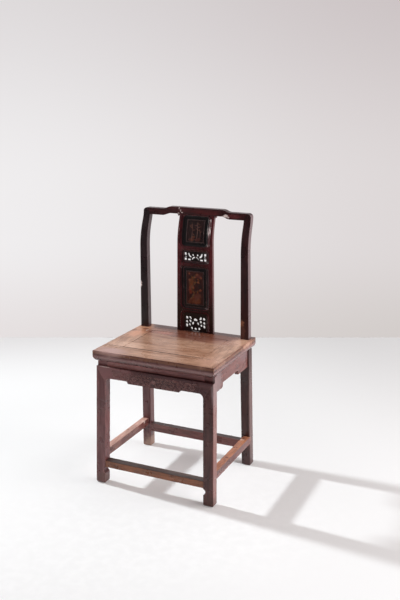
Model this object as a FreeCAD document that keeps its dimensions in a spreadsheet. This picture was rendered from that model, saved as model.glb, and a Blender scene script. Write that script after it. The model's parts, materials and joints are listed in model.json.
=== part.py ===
import FreeCAD, Part
import math
import os
import Sketcher

# Side chair with a framed, pierced and inlaid splat.
# X runs to the right seen from the front, Y to the back, Z up; millimetres.

SIZES = [
    ("seat_height", 500, "floor to the top of the seat"),
    ("seat_width", 460, "seat frame across"),
    ("seat_depth", 380, "seat frame front to back"),
    ("rail_thick", 40, "seat rails, height of the edge"),
    ("rail_width", 77, "seat rails, width in plan"),
    ("edge_roll", 20, "radius of the lower roll of the seat edge"),
    ("edge_soft", 4, "worn round on the top edge of the seat"),
    ("panel_thick", 12, "seat panel"),
    ("tongue_thick", 6, "tongue round the seat panel"),
    ("tongue_long", 9, "reach of the tongue into the rails"),
    ("groove_spare", 1, "room left at the bottom of the grooves"),
    ("panel_reveal", 1.4, "open line between panel and rails"),
    ("brace_width", 40, "brace under the seat panel"),
    ("brace_height", 22, "brace under the seat panel"),
    ("key_neck", 20, "dovetail key of the brace, narrow side"),
    ("key_head", 26, "dovetail key of the brace, wide side"),
    ("key_height", 4, "dovetail key of the brace"),
    ("foot_out_width", 1, "front feet outside the seat frame, each side"),
    ("foot_out_depth", 2, "feet outside the seat frame, front and back"),
    ("leg_width", 37, "front leg across"),
    ("leg_depth", 32, "front leg front to back"),
    ("rear_foot_inset", 2, "rear feet stand in from the front feet"),
    ("rear_leg_width", 35, "rear leg below the seat, across"),
    ("rear_leg_depth", 33, "rear leg below the seat, front to back"),
    ("lean_width", 7.6, "sideways lean of a leg over its height"),
    ("lean_depth", 14.7, "front to back lean of a leg over its height"),
    ("leg_soft", 3, "softened long edges of the legs"),
    ("hoof_soft", 8, "rounded bottoms of the front feet"),
    ("rear_foot_soft", 5, "rounded bottoms of the rear feet"),
    ("scoop_radius", 12, "hollow above the hoof of a front foot"),
    ("scoop_standoff", 5, "centre of the hollow outside the leg"),
    ("scoop_height", 51, "centre of the hollow above the floor"),
    ("waist_height", 20, "strip between seat and front apron"),
    ("waist_thick", 12, "strip between seat and front apron"),
    ("ledge_depth", 12, "apron and legs stand out in front of the strip"),
    ("apron_height", 40, "front apron at its ends"),
    ("apron_drop", 8, "front apron, lower middle part"),
    ("apron_drop_half", 98, "middle to the end of the lower part"),
    ("apron_step", 5, "slope at each end of the lower part"),
    ("apron_corner", 16, "hollow corner between apron and leg"),
    ("apron_back", 12, "front apron behind its mitred face"),
    ("apron_housing", 2, "front apron let into the legs"),
    ("side_apron_height", 47.5, "side boards between their lugs"),
    ("side_apron_thick", 14, "side boards"),
    ("side_apron_inset", 7, "side boards behind the outer faces of the legs"),
    ("lug_drop", 17, "lugs of the side boards"),
    ("lug_front_long", 66, "front lug measured from the leg"),
    ("lug_rear_long", 86, "rear lug measured from the leg"),
    ("lug_round", 9, "rounded end of a lug"),
    ("board_tongue", 6, "tongues that let the boards into the legs"),
    ("rear_apron_height", 42, "board under the rear seat rail"),
    ("rear_apron_thick", 14, "board under the rear seat rail"),
    ("rear_apron_inset", 8, "rear board behind the fronts of the rear legs"),
    ("front_bar_base", 64.5, "front stretcher above the floor"),
    ("front_bar_height", 25, "front stretcher"),
    ("front_bar_depth", 30, "front stretcher"),
    ("front_bar_inset", 3.4, "front stretcher behind the fronts of the feet"),
    ("side_bar_base", 91, "side stretchers above the floor"),
    ("side_bar_height", 27.5, "side stretchers"),
    ("side_bar_width", 25, "side stretchers"),
    ("side_bar_inset", 3.6, "side stretchers inside the outer faces of the feet"),
    ("rear_bar_base", 66, "rear stretcher above the floor"),
    ("rear_bar_height", 32, "rear stretcher"),
    ("rear_bar_depth", 23, "rear stretcher"),
    ("rear_bar_inset", 10, "rear stretcher in front of the backs of the feet"),
    ("tenon_long", 18, "tenons of the stretchers"),
    ("fit_gap", 0.2, "room round a tenon"),
    ("leg_tenon", 16, "square tenon on top of a front leg"),
    ("leg_tenon_long", 24, "height of that tenon"),
    ("rail_tenon_long", 26, "tenons of the seat rails past the mitre"),
    ("rail_tenon_thick", 12, "tenons of the seat rails"),
    ("rail_tenon_base", 10, "tenons of the seat rails above the lower face"),
    ("post_depth", 26, "back posts, front to back"),
    ("post_shoulder", 2, "back posts narrower than the legs on the inner side"),
    ("post_taper", 8, "outer faces of the posts run in towards the top"),
    ("post_inner_taper", 2, "inner faces of the posts run in towards the top"),
    ("post_soft", 2.5, "softened long edges of the posts"),
    ("bend_drop", 141.5, "posts: start of the backward bend below the top"),
    ("bend_forward", 5.9, "posts lean forward from the seat to the bend"),
    ("bend_back", 27.4, "posts go back in the bend"),
    ("bend_radius", 230, "lower curve of posts and splat"),
    ("return_radius", 115, "upper curve of posts and splat"),
    ("crest_height", 953.5, "top of the crest rail at its ends"),
    ("crest_thick", 24, "height of the crest rail"),
    ("crest_rise", 8.5, "middle of the crest rail above its ends"),
    ("crest_flat_half", 100, "middle to the start of the shoulder"),
    ("crest_shoulder", 34, "length of a shoulder of the crest rail"),
    ("crest_round", 15, "rounded outer corners of the crest rail"),
    ("post_tenon", 12, "tenon of a post in the crest rail"),
    ("post_tenon_long", 9, "height of that tenon above the mitre's middle"),
    ("splat_half_low", 74.3, "half of the splat's width at the seat"),
    ("splat_taper", 5, "splat narrower at the top, each side"),
    ("splat_field_half", 52, "middle to the inner edge of a stile"),
    ("splat_thick", 15, "stiles of the splat"),
    ("splat_set", 14, "splat front behind the fronts of the posts at the seat"),
    ("splat_bend_drop", 121.5, "splat: start of the bend below the top"),
    ("splat_forward", 2, "splat leans forward from the seat to the bend"),
    ("splat_back", 18.8, "splat goes back in the bend"),
    ("cross_set", 1.2, "cross rails of the splat behind the stiles"),
    ("cross_thick", 12, "cross rails of the splat"),
    ("core_set", 4, "panels of the splat behind the stiles"),
    ("core_thick", 7, "panels of the splat"),
    ("core_tongue", 5, "panels let into the stiles"),
    ("cross_tongue", 3, "panels let into the cross rails"),
    ("splat_tenon", 8, "splat let into seat and crest rail"),
    ("cross_low_high", 12, "lower cross rail of the splat"),
    ("cross_mid_high", 10, "middle cross rail of the splat"),
    ("cross_top_high", 11, "upper cross rail of the splat"),
    ("bead_set", 2, "inlay frames behind the stiles"),
    ("bead_width", 3, "inlay frames"),
    ("inlay_thick", 1, "inlaid plaques, proud of the panel"),
    ("glue_line", 0.2, "room for glue behind inlay frames and plaques"),
    ("plaque_half", 35.5, "half of the width of the inlay frames"),
    ("fret_top_half", 44.5, "pierced part of the upper fret"),
    ("fret_top_foot", 8.5, "pierced part of the upper fret above its lower rail"),
    ("fret_top_head", 12.5, "pierced part of the upper fret below its upper rail"),
    ("fret_low_half", 41, "pierced part of the lower fret"),
    ("fret_low_foot", 4.5, "pierced part of the lower fret above the seat"),
    ("fret_low_head", 18.5, "pierced part of the lower fret below its rail"),
    ("foot_arch_half", 20, "open foot of the splat"),
    ("foot_arch_high", 2.2, "open foot of the splat"),
    ("overrun", 30, "cutting shapes reach past the wood"),
]

# Openings of the frets as shares of the right half of the pierced part
UPPER_FRET_SHARES = [
    [(0.77, 0.65), (0.98, 0.67), (1.0, 0.97), (0.79, 0.99)],
    [(0.78, 0.03), (0.99, 0.01), (1.0, 0.31), (0.77, 0.33)],
    [(0.74, 0.48), (0.86, 0.4), (0.95, 0.47), (0.88, 0.57)],
    [(0.36, 0.35), (0.54, 0.45), (0.64, 0.65), (0.67, 0.93), (0.54, 0.95), (0.48, 0.68), (0.34, 0.52)],
    [(0.4, 0.03), (0.68, 0.02), (0.7, 0.22), (0.42, 0.24)],
    [(0.13, 0.62), (0.25, 0.58), (0.3, 0.74), (0.22, 0.84), (0.12, 0.78)],
    [(0.03, 0.4), (0.16, 0.31), (0.25, 0.11), (0.34, 0.16), (0.27, 0.34), (0.16, 0.48), (0.03, 0.53)],
]
LOWER_FRET_SHARES = [
    [(0.72, 0.79), (0.94, 0.77), (0.98, 0.9), (0.86, 0.98), (0.73, 0.94)],
    [(0.74, 0.52), (0.86, 0.47), (0.98, 0.53), (0.95, 0.65), (0.78, 0.66)],
    [(0.76, 0.24), (0.92, 0.17), (0.99, 0.28), (0.95, 0.42), (0.74, 0.4)],
    [(0.34, 0.78), (0.5, 0.77), (0.64, 0.88), (0.6, 0.99), (0.46, 0.97), (0.41, 0.88)],
    [(0.42, 0.56), (0.54, 0.53), (0.64, 0.62), (0.6, 0.72), (0.48, 0.73), (0.4, 0.66)],
    [(0.16, 0.46), (0.28, 0.37), (0.37, 0.41), (0.34, 0.53), (0.24, 0.6), (0.14, 0.58)],
    [(0.46, 0.34), (0.58, 0.27), (0.68, 0.34), (0.66, 0.45), (0.54, 0.47)],
    [(0.24, 0.05), (0.4, 0.03), (0.49, 0.12), (0.44, 0.21), (0.3, 0.22)],
]
# Openings across the middle of the lower fret: their right halves, from the foot up
LOWER_MIDDLE_SHARES = [
    [(0, 0.68), (0.14, 0.65), (0.21, 0.73), (0.13, 0.83), (0, 0.86)],
    [(0, 0), (0.1, 0.03), (0.14, 0.1), (0.06, 0.17), (0, 0.18)],
]
# Lower edges of the splat's cross rails as shares of the back's height above the seat
CROSS_LOW_SHARE = 0.1735
CROSS_MID_SHARE = 0.571
CROSS_TOP_SHARE = 0.71
# Lower and upper edges of the inlay frames as shares of the panels that carry them
TOP_PLAQUE_SHARES = (0.13, 0.836)
MIDDLE_PLAQUE_SHARES = (0.0925, 0.883)
# Thickness of a tenon as a share of its bar
TENON_SHARE = 0.46
HALF = 0.5


class Size:
    """A length read from the sheet, or a sum of such lengths, with its present value."""

    def __init__(self, text, value):
        self.text = text
        self.value = value

    def __add__(self, other):
        return Size(f"({self.text} + {words(other)})", self.value + number(other))

    def __sub__(self, other):
        return Size(f"({self.text} - {words(other)})", self.value - number(other))

    def __mul__(self, other):
        return Size(f"({self.text} * {words(other)})", self.value * number(other))

    def __truediv__(self, other):
        return Size(f"({self.text} / {words(other)})", self.value / number(other))

    def __neg__(self):
        return Size(f"(-1 * {self.text})", -self.value)


class Guess:
    """A place that the constraints work out; the value only starts the solver."""

    def __init__(self, value):
        self.value = value


def words(size):
    return size.text if isinstance(size, Size) else repr(size)


def number(size):
    return size.value if isinstance(size, (Size, Guess)) else float(size)


class Names:
    """Holds every size of the sheet under its own name."""


document = FreeCAD.newDocument("Chair")
sheet = document.addObject("Spreadsheet::Sheet", "Sizes")
size = Names()
for row, (alias, value, meaning) in enumerate(SIZES, 1):
    sheet.set(f"A{row}", meaning)
    sheet.set(f"B{row}", str(value))
    sheet.setAlias(f"B{row}", alias)
    setattr(size, alias, Size(f"Sizes.{alias}", float(value)))
document.recompute()

nodes = {}


# Small tools for drawing and joining

def box(name, low, high):
    """A block between two corners given as sizes."""
    block = document.addObject("Part::Box", name)
    for side, axis, start, end in zip(("Length", "Width", "Height"), "xyz", low, high):
        if isinstance(start, Size):
            block.setExpression(f"Placement.Base.{axis}", start.text)
            block.setExpression(side, (end - start).text)
        else:
            block.setExpression(side, end.text)
    return block


def fuse(name, shapes):
    joined = document.addObject("Part::MultiFuse", name)
    joined.Shapes = shapes
    joined.Refine = True
    return joined


def common(name, shapes):
    shared = document.addObject("Part::MultiCommon", name)
    shared.Shapes = shapes
    return shared


def cut(name, base, tools):
    """Takes every tool away from the base."""
    trimmed = document.addObject("Part::Cut", name)
    trimmed.Base = base
    trimmed.Tool = tools[0] if len(tools) == 1 else fuse(name + "_tools", tools)
    return trimmed


def mirror(name, source, across):
    """A handed copy; across is the direction that is turned round."""
    copy = document.addObject("Part::Mirroring", name)
    copy.Source = source
    copy.Normal = across
    return copy


ACROSS = FreeCAD.Vector(1, 0, 0)
BACKWARD = FreeCAD.Vector(0, 1, 0)


def keep(name, piece):
    """Registers a finished piece under its plain name."""
    piece.Label = name
    nodes[name] = piece


def new_body(name):
    return document.addObject("PartDesign::Body", name)


def new_sketch(body, name, role):
    """A sketch on one of the body's own origin planes."""
    sketch = body.newObject("Sketcher::SketchObject", name)
    plane = [item for item in body.Origin.OriginFeatures if item.Role == role][0]
    sketch.AttachmentSupport = [(plane, "")]
    sketch.MapMode = "FlatFace"
    return sketch


def arc_between(start, end, turn, radius):
    """The short arc from start to end; turn is left or right along the way."""
    chord = end - start
    reach = math.sqrt(max(radius * radius - chord.Length * chord.Length / 4, 0))
    normal = FreeCAD.Vector(-chord.y, chord.x, 0).normalize()
    sign = 1 if turn == "left" else -1
    centre = (start + end) * HALF + normal * (reach * sign)
    first, last = (start, end) if turn == "left" else (end, start)
    angles = [math.atan2(point.y - centre.y, point.x - centre.x) for point in (first, last)]
    if angles[1] < angles[0]:
        angles[1] += 2 * math.pi
    circle = Part.Circle(centre, FreeCAD.Vector(0, 0, 1), radius)
    return Part.ArcOfCircle(circle, angles[0], angles[1])


def outline(sketch, steps):
    """Draws a closed outline. A step is a corner, the bend to the next corner, and a smooth mark."""
    first = sketch.GeometryCount
    count = len(steps)
    points = [FreeCAD.Vector(number(step[0]), number(step[1]), 0) for step in steps]
    ends = []
    for index, step in enumerate(steps):
        start, end = points[index], points[(index + 1) % count]
        if len(step) == 2 or step[2] is None:
            sketch.addGeometry(Part.LineSegment(start, end))
            ends.append((1, 2))
        else:
            turn, radius = step[2]
            sketch.addGeometry(arc_between(start, end, turn, number(radius)))
            ends.append((1, 2) if turn == "left" else (2, 1))
    for index, step in enumerate(steps):
        after = (index + 1) % count
        kind = "Tangent" if len(steps[after]) == 4 else "Coincident"
        join = (kind, first + index, ends[index][1], first + after, ends[after][0])
        sketch.addConstraint(Sketcher.Constraint(*join))
    for index, step in enumerate(steps):
        for kind, place, axis in (("DistanceX", step[0], -2), ("DistanceY", step[1], -1)):
            if isinstance(place, Size):
                held = (kind, -1, 1, first + index, ends[index][0], place.value)
                mark = sketch.addConstraint(Sketcher.Constraint(*held))
                sketch.setExpression(f"Constraints[{mark}]", place.text)
            elif not isinstance(place, Guess):
                held = ("PointOnObject", first + index, ends[index][0], axis)
                sketch.addConstraint(Sketcher.Constraint(*held))
        if len(step) > 2 and step[2]:
            radius = step[2][1]
            mark = sketch.addConstraint(Sketcher.Constraint("Radius", first + index, radius.value))
            sketch.setExpression(f"Constraints[{mark}]", radius.text)


def pad(body, sketch, name, length, both_ways=False, reverse=False):
    """Raises a sketch into wood."""
    raised = body.newObject("PartDesign::Pad", name)
    raised.Profile = sketch
    raised.setExpression("Length", length.text)
    raised.Midplane = both_ways
    raised.Reversed = reverse
    sketch.Visibility = False
    return raised


def pocket(body, sketch, name, length):
    """Cuts a sketch out of the body on both sides of its plane."""
    sunk = body.newObject("PartDesign::Pocket", name)
    sunk.Profile = sketch
    sunk.setExpression("Length", length.text)
    sunk.Midplane = True
    return sunk


def soften(body, base, name, radius, wanted):
    """Rounds the edges of the base that the test picks."""
    document.recompute()
    picked = [f"Edge{mark}" for mark, edge in enumerate(base.Shape.Edges, 1) if wanted(edge)]
    rounded = body.newObject("PartDesign::Fillet", name)
    rounded.Base = (base, picked)
    rounded.setExpression("Radius", radius.text)
    return rounded


def middle(edge):
    return edge.valueAt((edge.FirstParameter + edge.LastParameter) * HALF)


# Places that several pieces share

flush = Size("0", 0)
leg_high = size.seat_height - size.rail_thick
half_width = size.seat_width / 2
half_depth = size.seat_depth / 2
foot_half_width = half_width + size.foot_out_width
foot_half_depth = half_depth + size.foot_out_depth
field_half_width = half_width - size.rail_width
field_half_depth = half_depth - size.rail_width
far = size.seat_width + size.overrun
tall = size.crest_height + size.overrun
waist_base = leg_high - size.waist_height
leg_top_outer = foot_half_width - size.lean_width
leg_top_inner = leg_top_outer - size.leg_width
leg_top_front = size.lean_depth - foot_half_depth
leg_top_back = leg_top_front + size.leg_depth
rear_outer = foot_half_width - size.rear_foot_inset
rear_inner = rear_outer - size.rear_leg_width
rear_front = foot_half_depth - size.rear_leg_depth
post_front = rear_front - size.lean_depth
post_outer = rear_outer - size.lean_width
post_inner = rear_inner - size.lean_width + size.post_shoulder
post_top_outer = post_outer - size.post_taper
post_top_inner = post_inner - size.post_inner_taper
crest_base = size.crest_height - size.crest_thick
crest_middle = size.crest_height + size.crest_rise
crest_middle_base = crest_base + size.crest_rise
bend_low_height = size.crest_height - size.bend_drop
bend_low_depth = post_front - size.bend_forward
bend_top_depth = bend_low_depth + size.bend_back
splat_seat_depth = post_front + size.splat_set
splat_low_height = size.crest_height - size.splat_bend_drop
splat_low_depth = splat_seat_depth - size.splat_forward
splat_top_depth = splat_low_depth + size.splat_back
back_high = crest_middle_base - size.seat_height
cross_low_base = size.seat_height + back_high * CROSS_LOW_SHARE
cross_mid_base = size.seat_height + back_high * CROSS_MID_SHARE
cross_top_base = size.seat_height + back_high * CROSS_TOP_SHARE
cross_low_top = cross_low_base + size.cross_low_high
cross_mid_top = cross_mid_base + size.cross_mid_high
cross_top_top = cross_top_base + size.cross_top_high


# Front legs: leaning prisms with a hoof, cut back at the waist

leg_body = new_body("front_leg_blank")
leg_plan = new_sketch(leg_body, "front_leg_plan", "XY_Plane")
outline(leg_plan, [
    (foot_half_width - size.leg_width, -foot_half_depth),
    (foot_half_width, -foot_half_depth),
    (foot_half_width, size.leg_depth - foot_half_depth),
    (foot_half_width - size.leg_width, size.leg_depth - foot_half_depth),
])
leg_pad = pad(leg_body, leg_plan, "front_leg_pad", leg_high)
leg_pad.UseCustomVector = True
leg_pad.AlongSketchNormal = True
leg_pad.setExpression("Direction.x", (-size.lean_width).text)
leg_pad.setExpression("Direction.y", size.lean_depth.text)
leg_pad.setExpression("Direction.z", leg_high.text)
outer_half = foot_half_width.value - size.leg_width.value * HALF - size.lean_width.value * HALF
hoof_round = soften(leg_body, leg_pad, "front_hoof_round", size.hoof_soft,
                    lambda edge: middle(edge).z < size.leg_soft.value)
soften(leg_body, hoof_round, "front_leg_soft", size.leg_soft,
       lambda edge: edge.Length > leg_high.value * HALF and middle(edge).x > outer_half)
leg_left_blank = mirror("front_leg_blank_left", leg_body, ACROSS)

tenon_x = leg_top_outer - size.leg_width / 2
tenon_y = leg_top_front + size.ledge_depth + (size.leg_depth - size.ledge_depth) / 2
leg_tenon = box("leg_tenon", (tenon_x - size.leg_tenon / 2, tenon_y - size.leg_tenon / 2, leg_high),
                (tenon_x + size.leg_tenon / 2, tenon_y + size.leg_tenon / 2, leg_high + size.leg_tenon_long))
waist_recess = box("waist_recess",
                   (leg_top_inner - size.overrun, -foot_half_depth - size.overrun, waist_base),
                   (foot_half_width + size.overrun, leg_top_front + size.ledge_depth, leg_high))
scoop = document.addObject("Part::Cylinder", "hoof_scoop")
scoop.setExpression("Radius", size.scoop_radius.text)
scoop.setExpression("Height", (size.leg_depth + size.overrun * 2).text)
scoop.Placement = FreeCAD.Placement(FreeCAD.Vector(), FreeCAD.Rotation(ACROSS, 90))
scoop_x = foot_half_width - size.leg_width - size.scoop_standoff
scoop.setExpression("Placement.Base.x", scoop_x.text)
scoop.setExpression("Placement.Base.y", (size.leg_depth + size.overrun - foot_half_depth).text)
scoop.setExpression("Placement.Base.z", size.scoop_height.text)


# Rear posts: one piece from the foot through the seat frame to the crest rail

def bent_way(foot_depth, low_depth, low_height, top_depth, shift):
    """Side view of a front face, upwards: a straight part, the bend back and the return."""
    span = size.bend_radius.value + size.return_radius.value
    swing = math.acos(1 - (top_depth.value - low_depth.value) / span)
    turn_depth = low_depth.value + shift.value + size.bend_radius.value * (1 - math.cos(swing))
    turn_height = low_height.value + size.bend_radius.value * math.sin(swing)
    top_height = low_height.value + span * math.sin(swing)
    return [
        (foot_depth + shift, leg_high),
        (low_depth + shift, low_height, ("right", size.bend_radius), "smooth"),
        (Guess(turn_depth), Guess(turn_height), ("left", size.return_radius), "smooth"),
        (top_depth + shift, Guess(top_height), None, "smooth"),
        (top_depth + shift, tall),
    ]


def post_curve(shift):
    """Front face of a post above the leg; shift moves it backwards."""
    return bent_way(post_front, bend_low_depth, bend_low_height, bend_top_depth, shift)


def splat_curve(shift):
    """Front face of the splat; shift moves it backwards."""
    return bent_way(splat_seat_depth, splat_low_depth, splat_low_height, splat_top_depth, shift)


OTHER_TURN = {"left": "right", "right": "left"}


def downwards(steps):
    """The same way walked from its end to its start."""
    back = []
    for index in range(len(steps) - 1, -1, -1):
        step = steps[index]
        bend = steps[index - 1][2] if index and len(steps[index - 1]) > 2 else None
        if bend:
            bend = (OTHER_TURN[bend[0]], bend[1])
        smooth = ("smooth",) if len(step) == 4 else ()
        back.append(step[:2] + (bend,) + smooth)
    return back


rear_leg_body = new_body("rear_leg_blank")
rear_leg_plan = new_sketch(rear_leg_body, "rear_leg_plan", "XY_Plane")
outline(rear_leg_plan, [
    (rear_inner, rear_front),
    (rear_outer, rear_front),
    (rear_outer, foot_half_depth),
    (rear_inner, foot_half_depth),
])
rear_leg_pad = pad(rear_leg_body, rear_leg_plan, "rear_leg_pad", leg_high)
rear_leg_pad.UseCustomVector = True
rear_leg_pad.AlongSketchNormal = True
rear_leg_pad.setExpression("Direction.x", (-size.lean_width).text)
rear_leg_pad.setExpression("Direction.y", (-size.lean_depth).text)
rear_leg_pad.setExpression("Direction.z", leg_high.text)
rear_foot_round = soften(rear_leg_body, rear_leg_pad, "rear_foot_round", size.rear_foot_soft,
                         lambda edge: middle(edge).z < size.leg_soft.value)
soften(rear_leg_body, rear_foot_round, "rear_leg_soft", size.leg_soft,
       lambda edge: edge.Length > leg_high.value * HALF)
rear_leg_left_blank = mirror("rear_leg_blank_left", rear_leg_body, ACROSS)

taper_share = (tall - leg_high) / (size.crest_height - leg_high)
shank_body = new_body("post_shank_blank")
shank_side = new_sketch(shank_body, "post_shank_side", "YZ_Plane")
outline(shank_side, post_curve(flush) + downwards(post_curve(size.post_depth)))
pad(shank_body, shank_side, "post_shank_pad", foot_half_width + size.overrun)
shank_waste = new_sketch(shank_body, "post_shank_waste", "XZ_Plane")
outline(shank_waste, [
    (-size.overrun, leg_high - size.overrun),
    (foot_half_width + size.overrun * 2, leg_high - size.overrun),
    (foot_half_width + size.overrun * 2, tall + size.overrun),
    (-size.overrun, tall + size.overrun),
])
outline(shank_waste, [
    (post_inner, leg_high),
    (post_outer, leg_high),
    (post_outer - size.post_taper * taper_share, tall),
    (post_inner - size.post_inner_taper * taper_share, tall),
])
shank_saw = pocket(shank_body, shank_waste, "post_shank_saw", far * 2)
soften(shank_body, shank_saw, "post_shank_soft", size.post_soft,
       lambda edge: abs(edge.Vertexes[0].Z - edge.Vertexes[-1].Z) > size.post_depth.value)
mitre_body = new_body("post_mitre_waste")
mitre_face = new_sketch(mitre_body, "post_mitre_face", "XZ_Plane")
outline(mitre_face, [
    (post_top_inner, crest_base),
    (post_top_outer - size.crest_round, size.crest_height, ("right", size.crest_round)),
    (post_top_outer, size.crest_height - size.crest_round),
    (post_top_outer + size.overrun, size.crest_height - size.crest_round),
    (post_top_outer + size.overrun, tall + size.overrun),
    (post_top_inner - size.overrun, tall + size.overrun),
    (post_top_inner - size.overrun, crest_base),
])
pad(mitre_body, mitre_face, "post_mitre_pad", far, both_ways=True)
shank = cut("post_shank", shank_body, [mitre_body])
shank_left = mirror("post_shank_left", shank, ACROSS)
post_tenon_x = (post_top_outer + post_top_inner) / 2
post_tenon_y = bend_top_depth + size.post_depth * HALF - size.fit_gap
post_tenon_top = size.crest_height - size.crest_thick / 2 + size.post_tenon_long
post_tenon = box("post_tenon",
                 (post_tenon_x - size.post_tenon / 2, post_tenon_y - size.post_tenon / 2, crest_base),
                 (post_tenon_x + size.post_tenon / 2, post_tenon_y + size.post_tenon / 2, post_tenon_top))
post_tenon_left = mirror("post_tenon_left", post_tenon, ACROSS)


# Stretchers: bars between the legs with tenons

def bar(name, low, high, axis, blanks, reach):
    """A stretcher trimmed to the leaning legs, its tenons, and the mortises they need."""
    low_main, high_main, low_tenon, high_tenon, low_hole, high_hole = [], [], [], [], [], []
    for index in range(3):
        start, end = low[index], high[index]
        if index == axis:
            low_main.append(start)
            high_main.append(end)
            low_tenon.append(reach[0])
            high_tenon.append(reach[1])
            low_hole.append(reach[0] - size.fit_gap)
            high_hole.append(reach[1] + size.fit_gap)
        else:
            spare = (end - start) * ((1 - TENON_SHARE) / 2)
            low_main.append(start)
            high_main.append(end)
            low_tenon.append(start + spare)
            high_tenon.append(end - spare)
            low_hole.append(start + spare - size.fit_gap)
            high_hole.append(end - spare + size.fit_gap)
    main = box(name + "_main", low_main, high_main)
    trimmed = cut(name + "_trimmed", main, blanks)
    tenon = box(name + "_tenon", low_tenon, high_tenon)
    hole = box(name + "_mortise", low_hole, high_hole)
    whole = fuse(name, [trimmed, tenon])
    return whole, hole


def lean_in(height):
    """Sideways lean of a leg at a height above the floor."""
    return size.lean_width * height / leg_high


front_level = size.front_bar_base + size.front_bar_height / 2
front_reach = foot_half_width - size.leg_width - lean_in(front_level) + size.tenon_long
front_bar, front_hole = bar(
    "stretcher_front",
    (-foot_half_width + size.fit_gap + size.leg_soft,
     size.front_bar_inset - foot_half_depth,
     size.front_bar_base),
    (foot_half_width - size.fit_gap - size.leg_soft,
     size.front_bar_inset + size.front_bar_depth - foot_half_depth,
     size.front_bar_base + size.front_bar_height),
    0, [leg_body, leg_left_blank], (-front_reach, front_reach))
keep("stretcher_front", front_bar)

rear_level = size.rear_bar_base + size.rear_bar_height / 2
rear_reach = rear_inner - lean_in(rear_level) + size.tenon_long
rear_bar, rear_hole = bar(
    "stretcher_rear",
    (-rear_outer + size.leg_soft,
     foot_half_depth - size.rear_bar_inset - size.rear_bar_depth,
     size.rear_bar_base),
    (rear_outer - size.leg_soft,
     foot_half_depth - size.rear_bar_inset,
     size.rear_bar_base + size.rear_bar_height),
    0, [rear_leg_body, rear_leg_left_blank], (-rear_reach, rear_reach))
keep("stretcher_rear", rear_bar)

side_level = size.side_bar_base + size.side_bar_height / 2
side_front = size.leg_depth - foot_half_depth + size.lean_depth * side_level / leg_high - size.tenon_long
side_back = rear_front - size.lean_depth * side_level / leg_high + size.tenon_long
side_bar, side_hole = bar(
    "stretcher_right",
    (foot_half_width - size.side_bar_inset - size.side_bar_width,
     size.overrun - foot_half_depth,
     size.side_bar_base),
    (foot_half_width - size.side_bar_inset,
     foot_half_depth - size.overrun,
     size.side_bar_base + size.side_bar_height),
    1, [leg_body, rear_leg_body], (side_front, side_back))
keep("stretcher_right", side_bar)
keep("stretcher_left", mirror("stretcher_left", side_bar, ACROSS))


# Front apron: leans with the legs, mitred over them, hollow corners, lower middle

def lean_with_legs(body):
    """Set a body on the front faces of the front legs, its origin at their top."""
    body.Placement = FreeCAD.Placement(FreeCAD.Vector(), FreeCAD.Rotation(-ACROSS, 1))
    body.setExpression("Placement.Base.y", leg_top_front.text)
    body.setExpression("Placement.Base.z", leg_high.text)
    body.setExpression("Placement.Rotation.Angle", f"atan({size.lean_depth.text} / {leg_high.text})")


apron_body = new_body("apron_front")
lean_with_legs(apron_body)
apron_low = -size.waist_height - size.apron_height
apron_inner = leg_top_inner + lean_in(size.waist_height + size.apron_height)
apron_outer = leg_top_outer + lean_in(size.waist_height)
lower_edge = [
    (-apron_inner + size.apron_corner, apron_low),
    (-size.apron_drop_half - size.apron_step, apron_low),
    (-size.apron_drop_half, apron_low - size.apron_drop),
    (size.apron_drop_half, apron_low - size.apron_drop),
    (size.apron_drop_half + size.apron_step, apron_low),
    (apron_inner - size.apron_corner, apron_low, ("right", size.apron_corner)),
    (apron_inner, apron_low - size.apron_corner),
]
apron_face = new_sketch(apron_body, "apron_face", "XZ_Plane")
left_corner = (-apron_inner, apron_low - size.apron_corner, ("right", size.apron_corner))
upper_edge = [(apron_outer, -size.waist_height), (-apron_outer, -size.waist_height)]
outline(apron_face, [left_corner] + lower_edge + upper_edge)
pad(apron_body, apron_face, "apron_face_pad", size.ledge_depth, reverse=True)
apron_rear_face = new_sketch(apron_body, "apron_rear_face", "XZ_Plane")
housed = leg_top_inner + size.apron_housing
outline(apron_rear_face, [
    (-housed, apron_low),
    (-size.apron_drop_half - size.apron_step, apron_low),
    (-size.apron_drop_half, apron_low - size.apron_drop),
    (size.apron_drop_half, apron_low - size.apron_drop),
    (size.apron_drop_half + size.apron_step, apron_low),
    (housed, apron_low),
    (housed, -size.waist_height),
    (-housed, -size.waist_height),
])
pad(apron_body, apron_rear_face, "apron_rear_pad", size.ledge_depth + size.apron_back, reverse=True)
keep("apron_front", apron_body)

ear_waste = new_body("apron_ear_waste")
lean_with_legs(ear_waste)
waste_inner = leg_top_inner - size.overrun
waste_top = size.overrun - size.waist_height
ear_face = new_sketch(ear_waste, "apron_ear_face", "XZ_Plane")
outline(ear_face, [
    (waste_inner, apron_low - size.apron_corner),
    (apron_inner, apron_low - size.apron_corner),
    (apron_outer, -size.waist_height),
    (apron_outer, waste_top),
    (waste_inner, waste_top),
])
pad(ear_waste, ear_face, "apron_ear_pad", size.ledge_depth * 2, both_ways=True)
housing_face = new_sketch(ear_waste, "apron_housing_face", "XZ_Plane")
outline(housing_face, [
    (waste_inner, apron_low),
    (housed, apron_low),
    (housed, -size.waist_height),
    (waste_inner, -size.waist_height),
])
pad(ear_waste, housing_face, "apron_housing_pad", (size.ledge_depth + size.apron_back) * 2, both_ways=True)

waist_front = leg_top_front + size.ledge_depth
waist_bar = box("waist_bar", (-leg_top_outer, waist_front, waist_base - size.groove_spare),
                (leg_top_outer, waist_front + size.waist_thick - size.groove_spare, leg_high))
waist_piece = cut("waist_front", waist_bar, [leg_body, leg_left_blank, apron_body])
keep("waist_front", waist_piece)


# Side boards under the seat: a front bracket and a long board with a rear lug

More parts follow.
